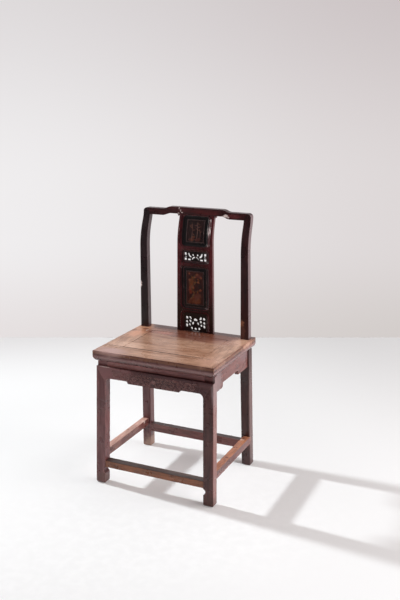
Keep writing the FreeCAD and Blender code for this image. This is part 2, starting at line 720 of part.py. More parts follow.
board_outer = leg_top_outer - size.side_apron_inset
board_inner = board_outer - size.side_apron_thick
board_low = leg_high - size.side_apron_height
lug_low = board_low - size.lug_drop
bracket_end = leg_top_back + size.lug_front_long
bracket_body = new_body("side_bracket_blank")
bracket_side = new_sketch(bracket_body, "side_bracket_side", "YZ_Plane")
outline(bracket_side, [
    (leg_top_back - size.board_tongue, leg_high),
    (leg_top_back - size.board_tongue, lug_low),
    (bracket_end - size.lug_round, lug_low, ("left", size.lug_round)),
    (bracket_end, lug_low + size.lug_round),
    (bracket_end, leg_high),
])
pad(bracket_body, bracket_side, "side_bracket_pad", size.side_apron_thick)
bracket_body.setExpression("Placement.Base.x", board_inner.text)
keep("side_bracket_right", bracket_body)
keep("side_bracket_left", mirror("side_bracket_left", bracket_body, ACROSS))

side_apron_body = new_body("side_apron_blank")
side_apron_side = new_sketch(side_apron_body, "side_apron_side", "YZ_Plane")
lug_start = post_front - size.lug_rear_long
outline(side_apron_side, [
    (bracket_end, leg_high),
    (bracket_end, board_low),
    (lug_start - size.lug_round, board_low, ("right", size.lug_round)),
    (lug_start, board_low - size.lug_round),
    (lug_start, lug_low),
    (post_front + size.board_tongue, lug_low),
    (post_front + size.board_tongue, leg_high),
])
pad(side_apron_body, side_apron_side, "side_apron_pad", size.side_apron_thick)
side_apron_body.setExpression("Placement.Base.x", board_inner.text)
keep("side_apron_right", side_apron_body)
keep("side_apron_left", mirror("side_apron_left", side_apron_body, ACROSS))

rear_apron_front = post_front + size.rear_apron_inset
rear_apron_bar = box("rear_apron_bar",
                     (-post_inner - size.board_tongue, rear_apron_front, leg_high - size.rear_apron_height),
                     (post_inner + size.board_tongue, rear_apron_front + size.rear_apron_thick, leg_high))
keep("apron_rear", rear_apron_bar)


# Seat frame: four mitred rails with a moulded edge, floating panel, dovetailed brace

groove_low = size.seat_height - size.panel_thick
groove_top = groove_low + size.tongue_thick
groove_reach = size.tongue_long + size.groove_spare


def rail_section(middle_line):
    """Section of a seat rail; the size is the distance from the chair's middle to the outer edge."""
    outer = -middle_line
    inner = size.rail_width - middle_line
    return [
        (outer + size.edge_roll, leg_high),
        (inner, leg_high),
        (inner, groove_low),
        (inner - groove_reach, groove_low),
        (inner - groove_reach, groove_top),
        (inner, groove_top),
        (inner, size.seat_height),
        (outer + size.edge_soft, size.seat_height, ("left", size.edge_soft)),
        (outer, size.seat_height - size.edge_soft),
        (outer, leg_high + size.edge_roll, ("left", size.edge_roll)),
    ]


def rail(name, role, middle_line, length, corners):
    """A seat rail with both ends mitred."""
    body = new_body(name)
    section = new_sketch(body, name + "_section", role)
    outline(section, rail_section(middle_line))
    pad(body, section, name + "_pad", length, both_ways=True)
    mitre = new_sketch(body, name + "_mitre", "XY_Plane")
    for corner in corners:
        outline(mitre, corner)
    pocket(body, mitre, name + "_saw", tall * 2)
    return body


spill = size.overrun
front_rail = rail("seat_rail_front_blank", "YZ_Plane", half_depth, size.seat_width, [
    [(half_width + spill, -half_depth - spill), (half_width + spill, spill - field_half_depth),
     (field_half_width - spill, spill - field_half_depth)],
    [(-half_width - spill, -half_depth - spill), (spill - field_half_width, spill - field_half_depth),
     (-half_width - spill, spill - field_half_depth)],
])
rear_rail = mirror("seat_rail_rear_blank", front_rail, BACKWARD)
left_rail = rail("seat_rail_left_blank", "XZ_Plane", half_width, size.seat_depth, [
    [(-half_width - spill, -half_depth - spill), (spill - field_half_width, -half_depth - spill),
     (spill - field_half_width, spill - field_half_depth)],
    [(-half_width - spill, half_depth + spill), (spill - field_half_width, field_half_depth - spill),
     (spill - field_half_width, half_depth + spill)],
])
right_rail = mirror("seat_rail_right_blank", left_rail, ACROSS)

corner_low = leg_high + size.rail_tenon_base
corner_top = corner_low + size.rail_tenon_thick
corner_tenon = box("rail_tenon",
                   (field_half_width - size.rail_tenon_long * HALF,
                    size.leg_soft - field_half_depth - size.rail_tenon_long,
                    corner_low),
                   (field_half_width + size.rail_tenon_long,
                    -field_half_depth - size.leg_soft,
                    corner_top))
corner_tenons_front = [corner_tenon, mirror("rail_tenon_front_left", corner_tenon, ACROSS)]
corner_tenons_rear = [mirror("rail_tenon_rear_" + side, tenon, BACKWARD)
                      for side, tenon in zip(("right", "left"), corner_tenons_front)]
leg_tenon_left = mirror("leg_tenon_left", leg_tenon, ACROSS)

brace_top = groove_low
brace_reach = field_half_depth + size.tongue_long
brace_low = brace_top - size.brace_height
brace_bar = box("brace_bar", (-size.brace_width / 2, -field_half_depth, brace_low),
                (size.brace_width / 2, field_half_depth, brace_top))
brace_end_half = size.brace_width * (TENON_SHARE / 2)
brace_ends = box("brace_ends", (-brace_end_half, -brace_reach, brace_low),
                 (brace_end_half, brace_reach, brace_top - size.brace_height * TENON_SHARE))
key_body = new_body("brace_key")
key_section = new_sketch(key_body, "brace_key_section", "XZ_Plane")
outline(key_section, [
    (-size.key_neck / 2, brace_top - size.key_height),
    (size.key_neck / 2, brace_top - size.key_height),
    (size.key_neck / 2, brace_top),
    (size.key_head / 2, brace_top + size.key_height),
    (-size.key_head / 2, brace_top + size.key_height),
    (-size.key_neck / 2, brace_top),
])
pad(key_body, key_section, "brace_key_pad", field_half_depth * 2 - size.panel_reveal * 2, both_ways=True)
brace = fuse("seat_brace", [brace_bar, brace_ends, key_body])
keep("seat_brace", brace)

tongue_half_width = field_half_width + size.tongue_long
tongue_half_depth = field_half_depth + size.tongue_long
panel_half_width = field_half_width - size.panel_reveal
panel_half_depth = field_half_depth - size.panel_reveal
tongue_board = box("panel_tongue", (-tongue_half_width, -tongue_half_depth, groove_low),
                   (tongue_half_width, tongue_half_depth, groove_top))
panel_board = box("panel_board", (-panel_half_width, -panel_half_depth, groove_low),
                  (panel_half_width, panel_half_depth, size.seat_height))
panel_blank = fuse("panel_blank", [tongue_board, panel_board])
panel = cut("seat_panel", panel_blank, [key_body])
keep("seat_panel", panel)


# Splat: stiles, cross rails, panels and frets, all bent to one curve

def board(name, shift, thick, half):
    """A bent board over the full height of the splat."""
    body = new_body(name)
    side = new_sketch(body, name + "_side", "YZ_Plane")
    outline(side, splat_curve(shift) + downwards(splat_curve(shift + thick)))
    pad(body, side, name + "_pad", half * 2, both_ways=True)
    return body


def window(name, half, low, high):
    """A block that keeps one part of a bent board."""
    return box(name, (-half, size.overrun * HALF, low), (half, half_depth + size.overrun, high))


core_half = size.splat_field_half + size.core_tongue
core = board("core_board", size.core_set, size.core_thick, core_half)
cross = board("cross_board", size.cross_set, size.cross_thick, size.splat_field_half)
bead = board("bead_board", size.bead_set, size.core_set - size.bead_set - size.glue_line, size.plaque_half)
leaf = board("inlay_board", size.core_set - size.inlay_thick, size.inlay_thick - size.glue_line,
             size.plaque_half - size.bead_width)

panel_top_base = cross_top_top - size.cross_tongue
panel_mid_base = cross_low_top - size.cross_tongue
panel_mid_end = cross_mid_base + size.cross_tongue
fret_top_start = cross_mid_top - size.cross_tongue
fret_top_end = cross_top_base + size.cross_tongue
fret_low_start = size.seat_height - size.splat_tenon
fret_low_end = cross_low_base + size.cross_tongue
top_end = crest_middle_base + size.splat_tenon

splat_panel_top = common("splat_panel_top",
                         [core, window("panel_top_window", core_half, panel_top_base, top_end)])
splat_panel_mid = common("splat_panel_middle",
                         [core, window("panel_mid_window", core_half, panel_mid_base, panel_mid_end)])
keep("splat_panel_top", splat_panel_top)
keep("splat_panel_middle", splat_panel_mid)


def fret(name, low, high, shares, middle_shares, pierced_half, pierced_base, pierced_top, arch):
    """A pierced board; the shares place the openings on the right half, the left half is handed."""
    def placed(corners):
        return [(pierced_half * across, pierced_base + pierced_high * up) for across, up in corners]

    def handed(corners):
        return [(-across, up) for across, up in reversed(corners)]

    pierced_high = pierced_top - pierced_base
    body = new_body(name + "_prism")
    face = new_sketch(body, name + "_face", "XZ_Plane")
    outline(face, [(-core_half, low), (core_half, low), (core_half, high), (-core_half, high)])
    pad(body, face, name + "_pad", half_depth + size.overrun, reverse=True)
    holes = new_sketch(body, name + "_holes", "XZ_Plane")
    for corners in shares:
        outline(holes, placed(corners))
        outline(holes, handed(placed(corners)))
    for corners in middle_shares:
        outline(holes, placed(corners) + handed(placed(corners[1:-1])))
    if arch:
        outline(holes, [
            (-size.foot_arch_half, low - size.overrun),
            (size.foot_arch_half, low - size.overrun),
            (size.foot_arch_half, size.seat_height),
            (size.foot_arch_half / 2, size.seat_height + size.foot_arch_high),
            (-size.foot_arch_half / 2, size.seat_height + size.foot_arch_high),
            (-size.foot_arch_half, size.seat_height),
        ])
    pocket(body, holes, name + "_piercing", far * 2)
    return common(name, [core, body])


fret_upper = fret("fret_upper", fret_top_start, fret_top_end, UPPER_FRET_SHARES, [], size.fret_top_half,
                  cross_mid_top + size.fret_top_foot, cross_top_base - size.fret_top_head, False)
fret_lower = fret("fret_lower", fret_low_start, fret_low_end, LOWER_FRET_SHARES, LOWER_MIDDLE_SHARES,
                  size.fret_low_half, size.seat_height + size.fret_low_foot,
                  cross_low_base - size.fret_low_head, True)
keep("fret_upper", fret_upper)
keep("fret_lower", fret_lower)


def cross_rail(name, low, high, neighbours):
    """A cross rail with tongues into the stiles, grooved for the boards next to it."""
    face = common(name + "_face", [cross, window(name + "_window", size.splat_field_half, low, high)])
    tongue = common(name + "_tongue", [core, window(name + "_reach", core_half, low, high)])
    whole = fuse(name + "_whole", [face, tongue])
    keep(name, cut(name, whole, neighbours))


cross_rail("splat_rail_lower", cross_low_base, cross_low_top, [fret_lower, splat_panel_mid])
cross_rail("splat_rail_middle", cross_mid_base, cross_mid_top, [splat_panel_mid, fret_upper])
cross_rail("splat_rail_upper", cross_top_base, cross_top_top, [fret_upper, splat_panel_top])

stile_body = new_body("splat_stile_blank")
stile_side = new_sketch(stile_body, "splat_stile_side", "YZ_Plane")
outline(stile_side, splat_curve(flush) + downwards(splat_curve(size.splat_thick)))
pad(stile_body, stile_side, "splat_stile_pad", size.splat_half_low + size.overrun)
stile_waste = new_sketch(stile_body, "splat_stile_waste", "XZ_Plane")
stile_top = crest_middle_base
outline(stile_waste, [
    (-size.overrun, -size.overrun),
    (size.splat_half_low + size.overrun * 2, -size.overrun),
    (size.splat_half_low + size.overrun * 2, tall + size.overrun),
    (-size.overrun, tall + size.overrun),
])
outline(stile_waste, [
    (size.splat_field_half, size.seat_height),
    (size.splat_half_low, size.seat_height),
    (size.splat_half_low - size.splat_taper, stile_top),
    (size.splat_field_half, stile_top),
])
pocket(stile_body, stile_waste, "splat_stile_saw", far * 2)
stile_right = cut("splat_stile_right", stile_body, [core])
keep("splat_stile_right", stile_right)
keep("splat_stile_left", mirror("splat_stile_left", stile_right, ACROSS))


def plaque(name, low, high, shares):
    """A moulded frame on a panel and the inlaid plaque inside it."""
    base = low + (high - low) * shares[0]
    head = low + (high - low) * shares[1]
    inner = size.plaque_half - size.bead_width
    ring_outer = window(name + "_ring_outer", size.plaque_half, base, head)
    ring_inner = window(name + "_ring_inner", inner, base + size.bead_width, head - size.bead_width)
    ring = cut(name + "_ring", ring_outer, [ring_inner])
    keep("inlay_frame_" + name, common("inlay_frame_" + name, [bead, ring]))
    keep("inlay_" + name, common("inlay_" + name, [leaf, ring_inner]))


plaque("top", cross_top_top, crest_middle_base, TOP_PLAQUE_SHARES)
plaque("middle", cross_low_top, cross_mid_base, MIDDLE_PLAQUE_SHARES)


# Crest rail: raised middle with shoulders, mitred onto the posts

crest_body = new_body("crest_rail_blank")
crest_side = new_sketch(crest_body, "crest_side", "YZ_Plane")
outline(crest_side, post_curve(flush) + downwards(post_curve(size.post_depth)))
crest_pad = pad(crest_body, crest_side, "crest_pad", far, both_ways=True)
crest_waste = new_sketch(crest_body, "crest_waste", "XZ_Plane")
shoulder_end = size.crest_flat_half + size.crest_shoulder
shoulder_mid = size.crest_flat_half + size.crest_shoulder / 2
shoulder_square = size.crest_shoulder * size.crest_shoulder + size.crest_rise * size.crest_rise
swell = shoulder_square / (size.crest_rise * 4)
outline(crest_waste, [
    (-far, -size.overrun),
    (far, -size.overrun),
    (far, tall + size.overrun),
    (-far, tall + size.overrun),
])
crest_outline = [
    (post_top_inner, crest_base),
    (post_top_outer - size.crest_round, size.crest_height),
    (shoulder_end, size.crest_height, ("right", swell)),
    (shoulder_mid, size.crest_height + size.crest_rise / 2, ("left", swell)),
    (size.crest_flat_half, crest_middle),
    (-size.crest_flat_half, crest_middle, ("left", swell)),
    (-shoulder_mid, size.crest_height + size.crest_rise / 2, ("right", swell)),
    (-shoulder_end, size.crest_height),
    (size.crest_round - post_top_outer, size.crest_height),
    (-post_top_inner, crest_base),
    (-shoulder_end, crest_base, ("left", swell)),
    (-shoulder_mid, crest_base + size.crest_rise / 2, ("right", swell)),
    (-size.crest_flat_half, crest_middle_base),
    (size.crest_flat_half, crest_middle_base, ("right", swell)),
    (shoulder_mid, crest_base + size.crest_rise / 2, ("left", swell)),
    (shoulder_end, crest_base),
]
outline(crest_waste, crest_outline)
crest_saw = pocket(crest_body, crest_waste, "crest_saw", far * 2)

splat_tenons = [splat_panel_top]
crest = cut("crest_rail", crest_body, [post_tenon, post_tenon_left] + splat_tenons)
keep("crest_rail", crest)


# Pieces that take the joints of others

leg_holes = [waist_recess, scoop, ear_waste, front_hole, side_hole, bracket_body]
front_leg = cut("front_leg_right", fuse("front_leg_whole", [leg_body, leg_tenon]), leg_holes)
keep("front_leg_right", front_leg)
keep("front_leg_left", mirror("front_leg_left", front_leg, ACROSS))

post_holes = [rear_hole, side_hole, side_apron_body, rear_apron_bar]
rear_post = cut("rear_post_right", fuse("rear_post_whole", [rear_leg_body, shank, post_tenon]), post_holes)
keep("rear_post_right", rear_post)
keep("rear_post_left", mirror("rear_post_left", rear_post, ACROSS))

front_rail_tools = [leg_tenon, leg_tenon_left, brace]
keep("seat_rail_front", cut("seat_rail_front", fuse("front_rail_whole", [front_rail] + corner_tenons_front),
                            front_rail_tools))
rear_rail_tools = [shank, shank_left, brace, fret_lower]
keep("seat_rail_rear", cut("seat_rail_rear", fuse("rear_rail_whole", [rear_rail] + corner_tenons_rear),
                           rear_rail_tools))
right_rail_tools = [leg_tenon, shank, corner_tenons_front[0], corner_tenons_rear[0]]
right_seat_rail = cut("seat_rail_right", right_rail, right_rail_tools)
keep("seat_rail_right", right_seat_rail)
keep("seat_rail_left", mirror("seat_rail_left", right_seat_rail, ACROSS))

document.recompute()


# Check every object and write one file for each piece

faults = []
for item in document.Objects:
    if "Invalid" in item.State or "Error" in item.State:
        faults.append(f"{item.Name}: {item.State}")
for name, piece in nodes.items():
    if piece.Shape.isNull() or not piece.Shape.isValid() or not piece.Shape.Solids:
        faults.append(f"{name}: no sound solid")
if faults:
    raise RuntimeError("; ".join(faults))
os.makedirs("parts", exist_ok=True)
for name, piece in sorted(nodes.items()):
    piece.Shape.exportStep(os.path.join("parts", name + ".step"))
    bound = piece.Shape.BoundBox
    corners = (bound.XMin, bound.XMax, bound.YMin, bound.YMax, bound.ZMin, bound.ZMax)
    print(name, len(piece.Shape.Solids), round(piece.Shape.Volume), [round(value, 1) for value in corners])
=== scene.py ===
import json
import math
from collections import namedtuple

import bmesh
import bpy
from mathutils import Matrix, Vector
from mathutils.bvhtree import BVHTree


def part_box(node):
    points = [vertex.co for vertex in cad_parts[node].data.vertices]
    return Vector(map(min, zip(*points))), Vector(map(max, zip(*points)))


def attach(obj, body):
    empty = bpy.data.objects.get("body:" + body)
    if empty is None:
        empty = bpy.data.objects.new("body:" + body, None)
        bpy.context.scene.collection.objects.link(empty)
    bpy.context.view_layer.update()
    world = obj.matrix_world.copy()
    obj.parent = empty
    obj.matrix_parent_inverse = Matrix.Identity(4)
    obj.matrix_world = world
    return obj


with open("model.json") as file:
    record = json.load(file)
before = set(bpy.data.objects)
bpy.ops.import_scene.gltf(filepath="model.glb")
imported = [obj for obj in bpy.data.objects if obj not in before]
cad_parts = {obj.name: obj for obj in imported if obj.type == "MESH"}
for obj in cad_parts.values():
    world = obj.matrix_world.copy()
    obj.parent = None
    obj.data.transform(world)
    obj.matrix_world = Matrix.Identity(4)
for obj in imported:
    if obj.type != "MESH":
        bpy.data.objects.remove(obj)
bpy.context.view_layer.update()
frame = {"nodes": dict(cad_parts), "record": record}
nodes = frame["nodes"]
scene = bpy.context.scene
slot_of = {entry["node"]: entry["material_slot"] for entry in frame["record"]["subparts"]}
MM = 0.001


def top_of(name):
    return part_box(name)[1][2] / MM


def foot_of(name):
    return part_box(name)[0][2] / MM


# Camera at the photograph's angle: the long side of the image is 600 pixels

FOCAL_PIXELS = 806.3
IMAGE_LONG_SIDE = 600
SENSOR = 36
CAMERA_PLACE = (1.2234, -2.4547, 1.3689)
CAMERA_TURN = 24.712
CAMERA_DOWN = 14.507
LEVEL = 90
TURN = math.radians(CAMERA_TURN)
AHEAD = Vector((-math.sin(TURN), math.cos(TURN), 0))
RIGHT = Vector((math.cos(TURN), math.sin(TURN), 0))
UP = Vector((0, 0, 1))


def add_camera():
    data = bpy.data.cameras.new("camera")
    data.sensor_width = SENSOR
    data.lens = FOCAL_PIXELS / IMAGE_LONG_SIDE * SENSOR
    camera = bpy.data.objects.new("camera", data)
    camera.location = CAMERA_PLACE
    camera.rotation_euler = (math.radians(LEVEL - CAMERA_DOWN), 0, TURN)
    scene.collection.objects.link(camera)
    scene.camera = camera


add_camera()


# Node building

MIX_FIRST, MIX_SECOND, MIX_RESULT = 6, 7, 2
NOISE_MIDDLE = 0.5
EDGE_SAMPLES = 4
EDGE_SPAN = (0.97, 0.80)


class NodeTree:
    """A node tree with short calls for the nodes used here."""

    def __init__(self, tree):
        self.tree = tree
        tree.nodes.clear()

    def feed(self, socket, value):
        if isinstance(value, bpy.types.NodeSocket):
            self.tree.links.new(value, socket)
        else:
            socket.default_value = value

    def node(self, kind, **inputs):
        made = self.tree.nodes.new(kind)
        for name, value in inputs.items():
            self.feed(made.inputs[name.replace("_", " ")], value)
        return made

    def math(self, operation, first, second=0.0):
        made = self.tree.nodes.new("ShaderNodeMath")
        made.operation = operation
        self.feed(made.inputs[0], first)
        self.feed(made.inputs[1], second)
        return made.outputs[0]

    def weighted(self, first, first_weight, second, second_weight):
        """The sum of two values, each with a weight."""
        return self.math("ADD", self.math("MULTIPLY", first, first_weight),
                         self.math("MULTIPLY", second, second_weight))

    def vector(self, operation, first, second=(0, 0, 0)):
        made = self.tree.nodes.new("ShaderNodeVectorMath")
        made.operation = operation
        self.feed(made.inputs[0], first)
        self.feed(made.inputs[1], second)
        return made.outputs["Value" if operation in ("LENGTH", "DOT_PRODUCT") else "Vector"]

    def split(self, vector):
        made = self.node("ShaderNodeSeparateXYZ", Vector=vector)
        return made.outputs[0], made.outputs[1], made.outputs[2]

    def span(self, value, low, high, to_low=0.0, to_high=1.0):
        """A smooth change from one value to another while the given value goes from low to high."""
        made = self.tree.nodes.new("ShaderNodeMapRange")
        made.interpolation_type = "SMOOTHSTEP"
        for socket, given in zip(made.inputs, (value, low, high, to_low, to_high)):
            self.feed(socket, given)
        return made.outputs[0]

    def mix(self, share, first, second, blend="MIX"):
        made = self.tree.nodes.new("ShaderNodeMix")
        made.data_type = "RGBA"
        made.blend_type = blend
        self.feed(made.inputs[0], share)
        self.feed(made.inputs[MIX_FIRST], first)
        self.feed(made.inputs[MIX_SECOND], second)
        return made.outputs[MIX_RESULT]

    def mix_shaders(self, share, first, second):
        made = self.tree.nodes.new("ShaderNodeMixShader")
        for socket, given in zip(made.inputs, (share, first, second)):
            self.feed(socket, given)
        return made.outputs[0]

    def light_path(self, name):
        return self.tree.nodes.new("ShaderNodeLightPath").outputs[name]

    def seen_directly(self):
        """One for what the camera sees, straight, in a reflection or through glass."""
        value = self.light_path("Is Camera Ray")
        for name in ("Is Glossy Ray", "Is Transmission Ray"):
            value = self.math("MAXIMUM", value, self.light_path(name))
        return value


class Shader(NodeTree):
    """A material's nodes, with patterns placed by the object's own coordinates."""

    def __init__(self, name):
        self.material = bpy.data.materials.new(name)
        self.material.use_nodes = True
        super().__init__(self.material.node_tree)
        self.output = self.tree.nodes.new("ShaderNodeOutputMaterial")
        self.place = self.tree.nodes.new("ShaderNodeTexCoord").outputs["Object"]
        self.normal = self.tree.nodes.new("ShaderNodeNewGeometry").outputs["Normal"]

    def noise(self, scales, detail=3.0, rough=0.55, distort=0.0):
        """Noise with a number of spots per metre along each axis."""
        stretched = self.vector("MULTIPLY", self.place, scales)
        made = self.node("ShaderNodeTexNoise", Vector=stretched, Scale=1.0, Detail=detail,
                         Roughness=rough, Distortion=distort)
        return made.outputs[0]

    def shade(self, colour, amount):
        grey = self.node("ShaderNodeCombineColor", Red=amount, Green=amount, Blue=amount).outputs[0]
        return self.mix(1.0, colour, grey, "MULTIPLY")

    def bump(self, height, strength, distance, normal=None):
        made = self.node("ShaderNodeBump", Height=height, Strength=strength, Distance=distance)
        if normal is not None:
            self.feed(made.inputs["Normal"], normal)
        return made.outputs[0]

    def edge(self, radius):
        """One near a convex or concave edge, zero on open faces."""
        rounded = self.node("ShaderNodeBevel", Radius=radius)
        rounded.samples = EDGE_SAMPLES
        return self.span(self.vector("DOT_PRODUCT", rounded.outputs[0], self.normal), *EDGE_SPAN)

    def spot(self, centre, reach, ragged, fine, core):
        """One at a place given in millimetres, zero past its reach along each axis, with a ragged edge."""
        away = self.vector("SUBTRACT", self.place, tuple(part * MM for part in centre))
        share = self.vector("LENGTH", self.vector("DIVIDE", away, tuple(part * MM for part in reach)))
        scales = fine if isinstance(fine, tuple) else (fine, fine, fine)
        torn = self.math("MULTIPLY", self.math("SUBTRACT", self.noise(scales), NOISE_MIDDLE), ragged)
        return self.span(self.math("ADD", share, torn), 1.0, core)

    def finish(self, surface):
        self.feed(self.output.inputs[0], surface)
        return self.material


# Colours as seen on a screen

SCREEN_WHITE = 255
CURVE_FOOT, CURVE_SLOPE = 0.04045, 12.92
CURVE_SHIFT, CURVE_POWER = 0.055, 2.4


def tone(red, green, blue):
    """A colour in screen values turned into light."""
    def light(part):
        part = part / SCREEN_WHITE
        if part <= CURVE_FOOT:
            return part / CURVE_SLOPE
        return ((part + CURVE_SHIFT) / (1 + CURVE_SHIFT)) ** CURVE_POWER
    return (light(red), light(green), light(blue), 1.0)


def tones(dark, light, worn):
    """The two tones of a wood's grain and the tone of its rubbed edges, from screen values."""
    return dict(dark=tone(*dark), light=tone(*light), worn=tone(*worn))


# Wood: long fibres, broad figure, short pores, rubbed edges, marks of use, and painted light and shade

FIBRES, FIBRES_LONG = 420, 22
FIGURE, FIGURE_LONG = 60, 7
PORES, PORES_LONG = 1500, 60
MOTTLE = 14
RUB = 46
GRAIN_SHARE, GRAIN_SPAN = 0.5, (0.36, 0.66)
MOTTLE_SPAN, MOTTLE_SHADE = (0.3, 0.72), (0.8, 1.14)
RUB_EDGE, RUB_SPAN = 0.0035, (0.4, 0.62)
UPWARD_SPAN = (0.7, 0.93)
PATCH_MOTTLE, PATCH_RUB = 0.55, 0.45
BARE_SPAN, BARE_SHADE = (0.3, 0.7), (0.9, 1.08)
SIDEWAYS_SPAN = (0.55, 0.9)
PAINTED_SHADE_TONE, PAINTED_SHADE_COVER = tone(58, 18, 22), 0.7
PORE_TONE, PORE_COVER, PORE_SPAN = tone(20, 11, 10), 0.3, (0.58, 0.72)
ROUGH_SPAN, ROUGH_LESS, ROUGH_MORE = (0.3, 0.7), 0.06, 0.09
RUBBED_ROUGHER, BARE_ROUGHER = 0.15, 0.03
RELIEF_SHARE = 0.5
FIBRE_RELIEF, RUB_RELIEF = (0.3, 0.0005), (0.15, 0.0009)


def stretched(along, across_count, along_count):
    return tuple(along_count if axis == along else across_count for axis in "xyz")


class Wood(Shader):
    """Old stained wood whose grain runs along one axis, with its colour so far."""

    def __init__(self, name, along):
        super().__init__(name)
        self.fibres = self.noise(stretched(along, FIBRES, FIBRES_LONG), detail=4, rough=0.6, distort=0.4)
        figure = self.noise(stretched(along, FIGURE, FIGURE_LONG), detail=3, rough=0.55, distort=0.9)
        pores = self.noise(stretched(along, PORES, PORES_LONG), detail=2, rough=0.6)
        self.mottle = self.noise((MOTTLE, MOTTLE, MOTTLE), detail=4, rough=0.62)
        self.rub = self.noise((RUB, RUB, RUB), detail=4, rough=0.65)
        self.grain = self.span(self.weighted(self.fibres, GRAIN_SHARE, figure, GRAIN_SHARE), *GRAIN_SPAN)
        self.pores = self.span(pores, *PORE_SPAN)
        self.height = self.split(self.place)[2]
        self.bare = None

    def above(self, low, high, share=1.0):
        """The given share above two heights in millimetres, zero below them."""
        return self.span(self.height, low * MM, high * MM, 0.0, share)

    def cover(self, share, over):
        self.colour = self.mix(share, self.colour, over)

    def stain(self, dark, light, high):
        self.colour = self.mix(self.grain, dark, light)
        if high:
            start, end, high_dark, high_light = high
            self.cover(self.above(start, end), self.mix(self.grain, high_dark, high_light))
        self.colour = self.shade(self.colour, self.span(self.mottle, *MOTTLE_SPAN, *MOTTLE_SHADE))

    def rub_edges(self, worn, wear):
        rubbed = self.math("MULTIPLY", self.edge(RUB_EDGE), self.span(self.rub, *RUB_SPAN))
        self.rubbed = self.math("MULTIPLY", rubbed, wear)
        self.cover(self.rubbed, worn)

    def lay_bare(self, dark, light, patchy):
        """Shows bare wood in patches on upward faces."""
        upward = self.span(self.split(self.normal)[2], *UPWARD_SPAN)
        patches = self.weighted(self.mottle, PATCH_MOTTLE, self.rub, PATCH_RUB)
        self.bare = self.math("MULTIPLY", upward, self.span(patches, *patchy))
        pale = self.mix(self.grain, dark, light)
        self.cover(self.bare, self.shade(pale, self.span(self.rub, *BARE_SPAN, *BARE_SHADE)))

    def fade(self, low, high, pale, strength):
        """Painted light: pales right-hand faces above two heights."""
        sideways = self.span(self.split(self.normal)[0], *SIDEWAYS_SPAN)
        painted_side_light = self.math("MULTIPLY", sideways, self.above(low, high))
        self.cover(self.math("MULTIPLY", painted_side_light, strength), pale)

    def put(self, mark):
        place = self.spot(mark.centre, mark.reach, mark.ragged, mark.fine, mark.core)
        self.cover(self.math("MULTIPLY", place, mark.strength), mark.tone)

    def complete(self, rough, specular):
        roughness = self.span(self.mottle, *ROUGH_SPAN, rough - ROUGH_LESS, rough + ROUGH_MORE)
        roughness = self.math("ADD", roughness, self.math("MULTIPLY", self.rubbed, RUBBED_ROUGHER))
        if self.bare is not None:
            roughness = self.math("ADD", roughness, self.math("MULTIPLY", self.bare, BARE_ROUGHER))
        relief = self.weighted(self.fibres, RELIEF_SHARE, self.pores, -RELIEF_SHARE)
        normal = self.bump(self.rub, *RUB_RELIEF, self.bump(relief, *FIBRE_RELIEF))
        surface = self.node("ShaderNodeBsdfPrincipled", Base_Color=self.colour, Roughness=roughness,
                            Normal=normal, Specular_IOR_Level=specular)
        return self.finish(surface.outputs[0])


def wood(name, along, dark, light, worn, wear=0.4, rough=0.3, specular=0.5, top=None, top_cover=(0.3, 0.5),
         marks=(), painted_shade_band=None, high=None, painted_side_light=None):
    """A wood whose grain runs along one axis.

    top gives two tones for upward faces that use has laid bare, and top_cover how patchy they are.
    high gives two heights in millimetres, and two tones that take over above them.
    painted_shade_band gives two heights between which painted shade comes to darken the wood.
    painted_side_light gives two heights, and a tone and its strength for right-hand faces above them, as
    painted light.
    """
    made = Wood(name, along)
    made.stain(dark, light, high)
    made.rub_edges(worn, wear)
    if top:
        made.lay_bare(*top, top_cover)
    if painted_shade_band:
        made.cover(made.above(*painted_shade_band, PAINTED_SHADE_COVER), PAINTED_SHADE_TONE)
    if painted_side_light:
        made.fade(*painted_side_light)
    for mark in marks:
        made.put(mark)
    made.cover(made.math("MULTIPLY", made.pores, PORE_COVER), PORE_TONE)
    return made.complete(rough, specular)


# Marks of use, and painted light and shade: centre and reach in millimetres, raggedness and fineness of the
# edge, share fully covered

Mark = namedtuple("Mark", "centre reach tone strength ragged fine core", defaults=(0.5,))
EVERYWHERE = 4000
STREAKS, BAR_STREAKS = (8, 55, 55), (60, 14, 60)
PALE_CHIP = tone(228, 210, 206)
SEAT_TOP = top_of("seat_panel")
SEAT_DEEP = 30

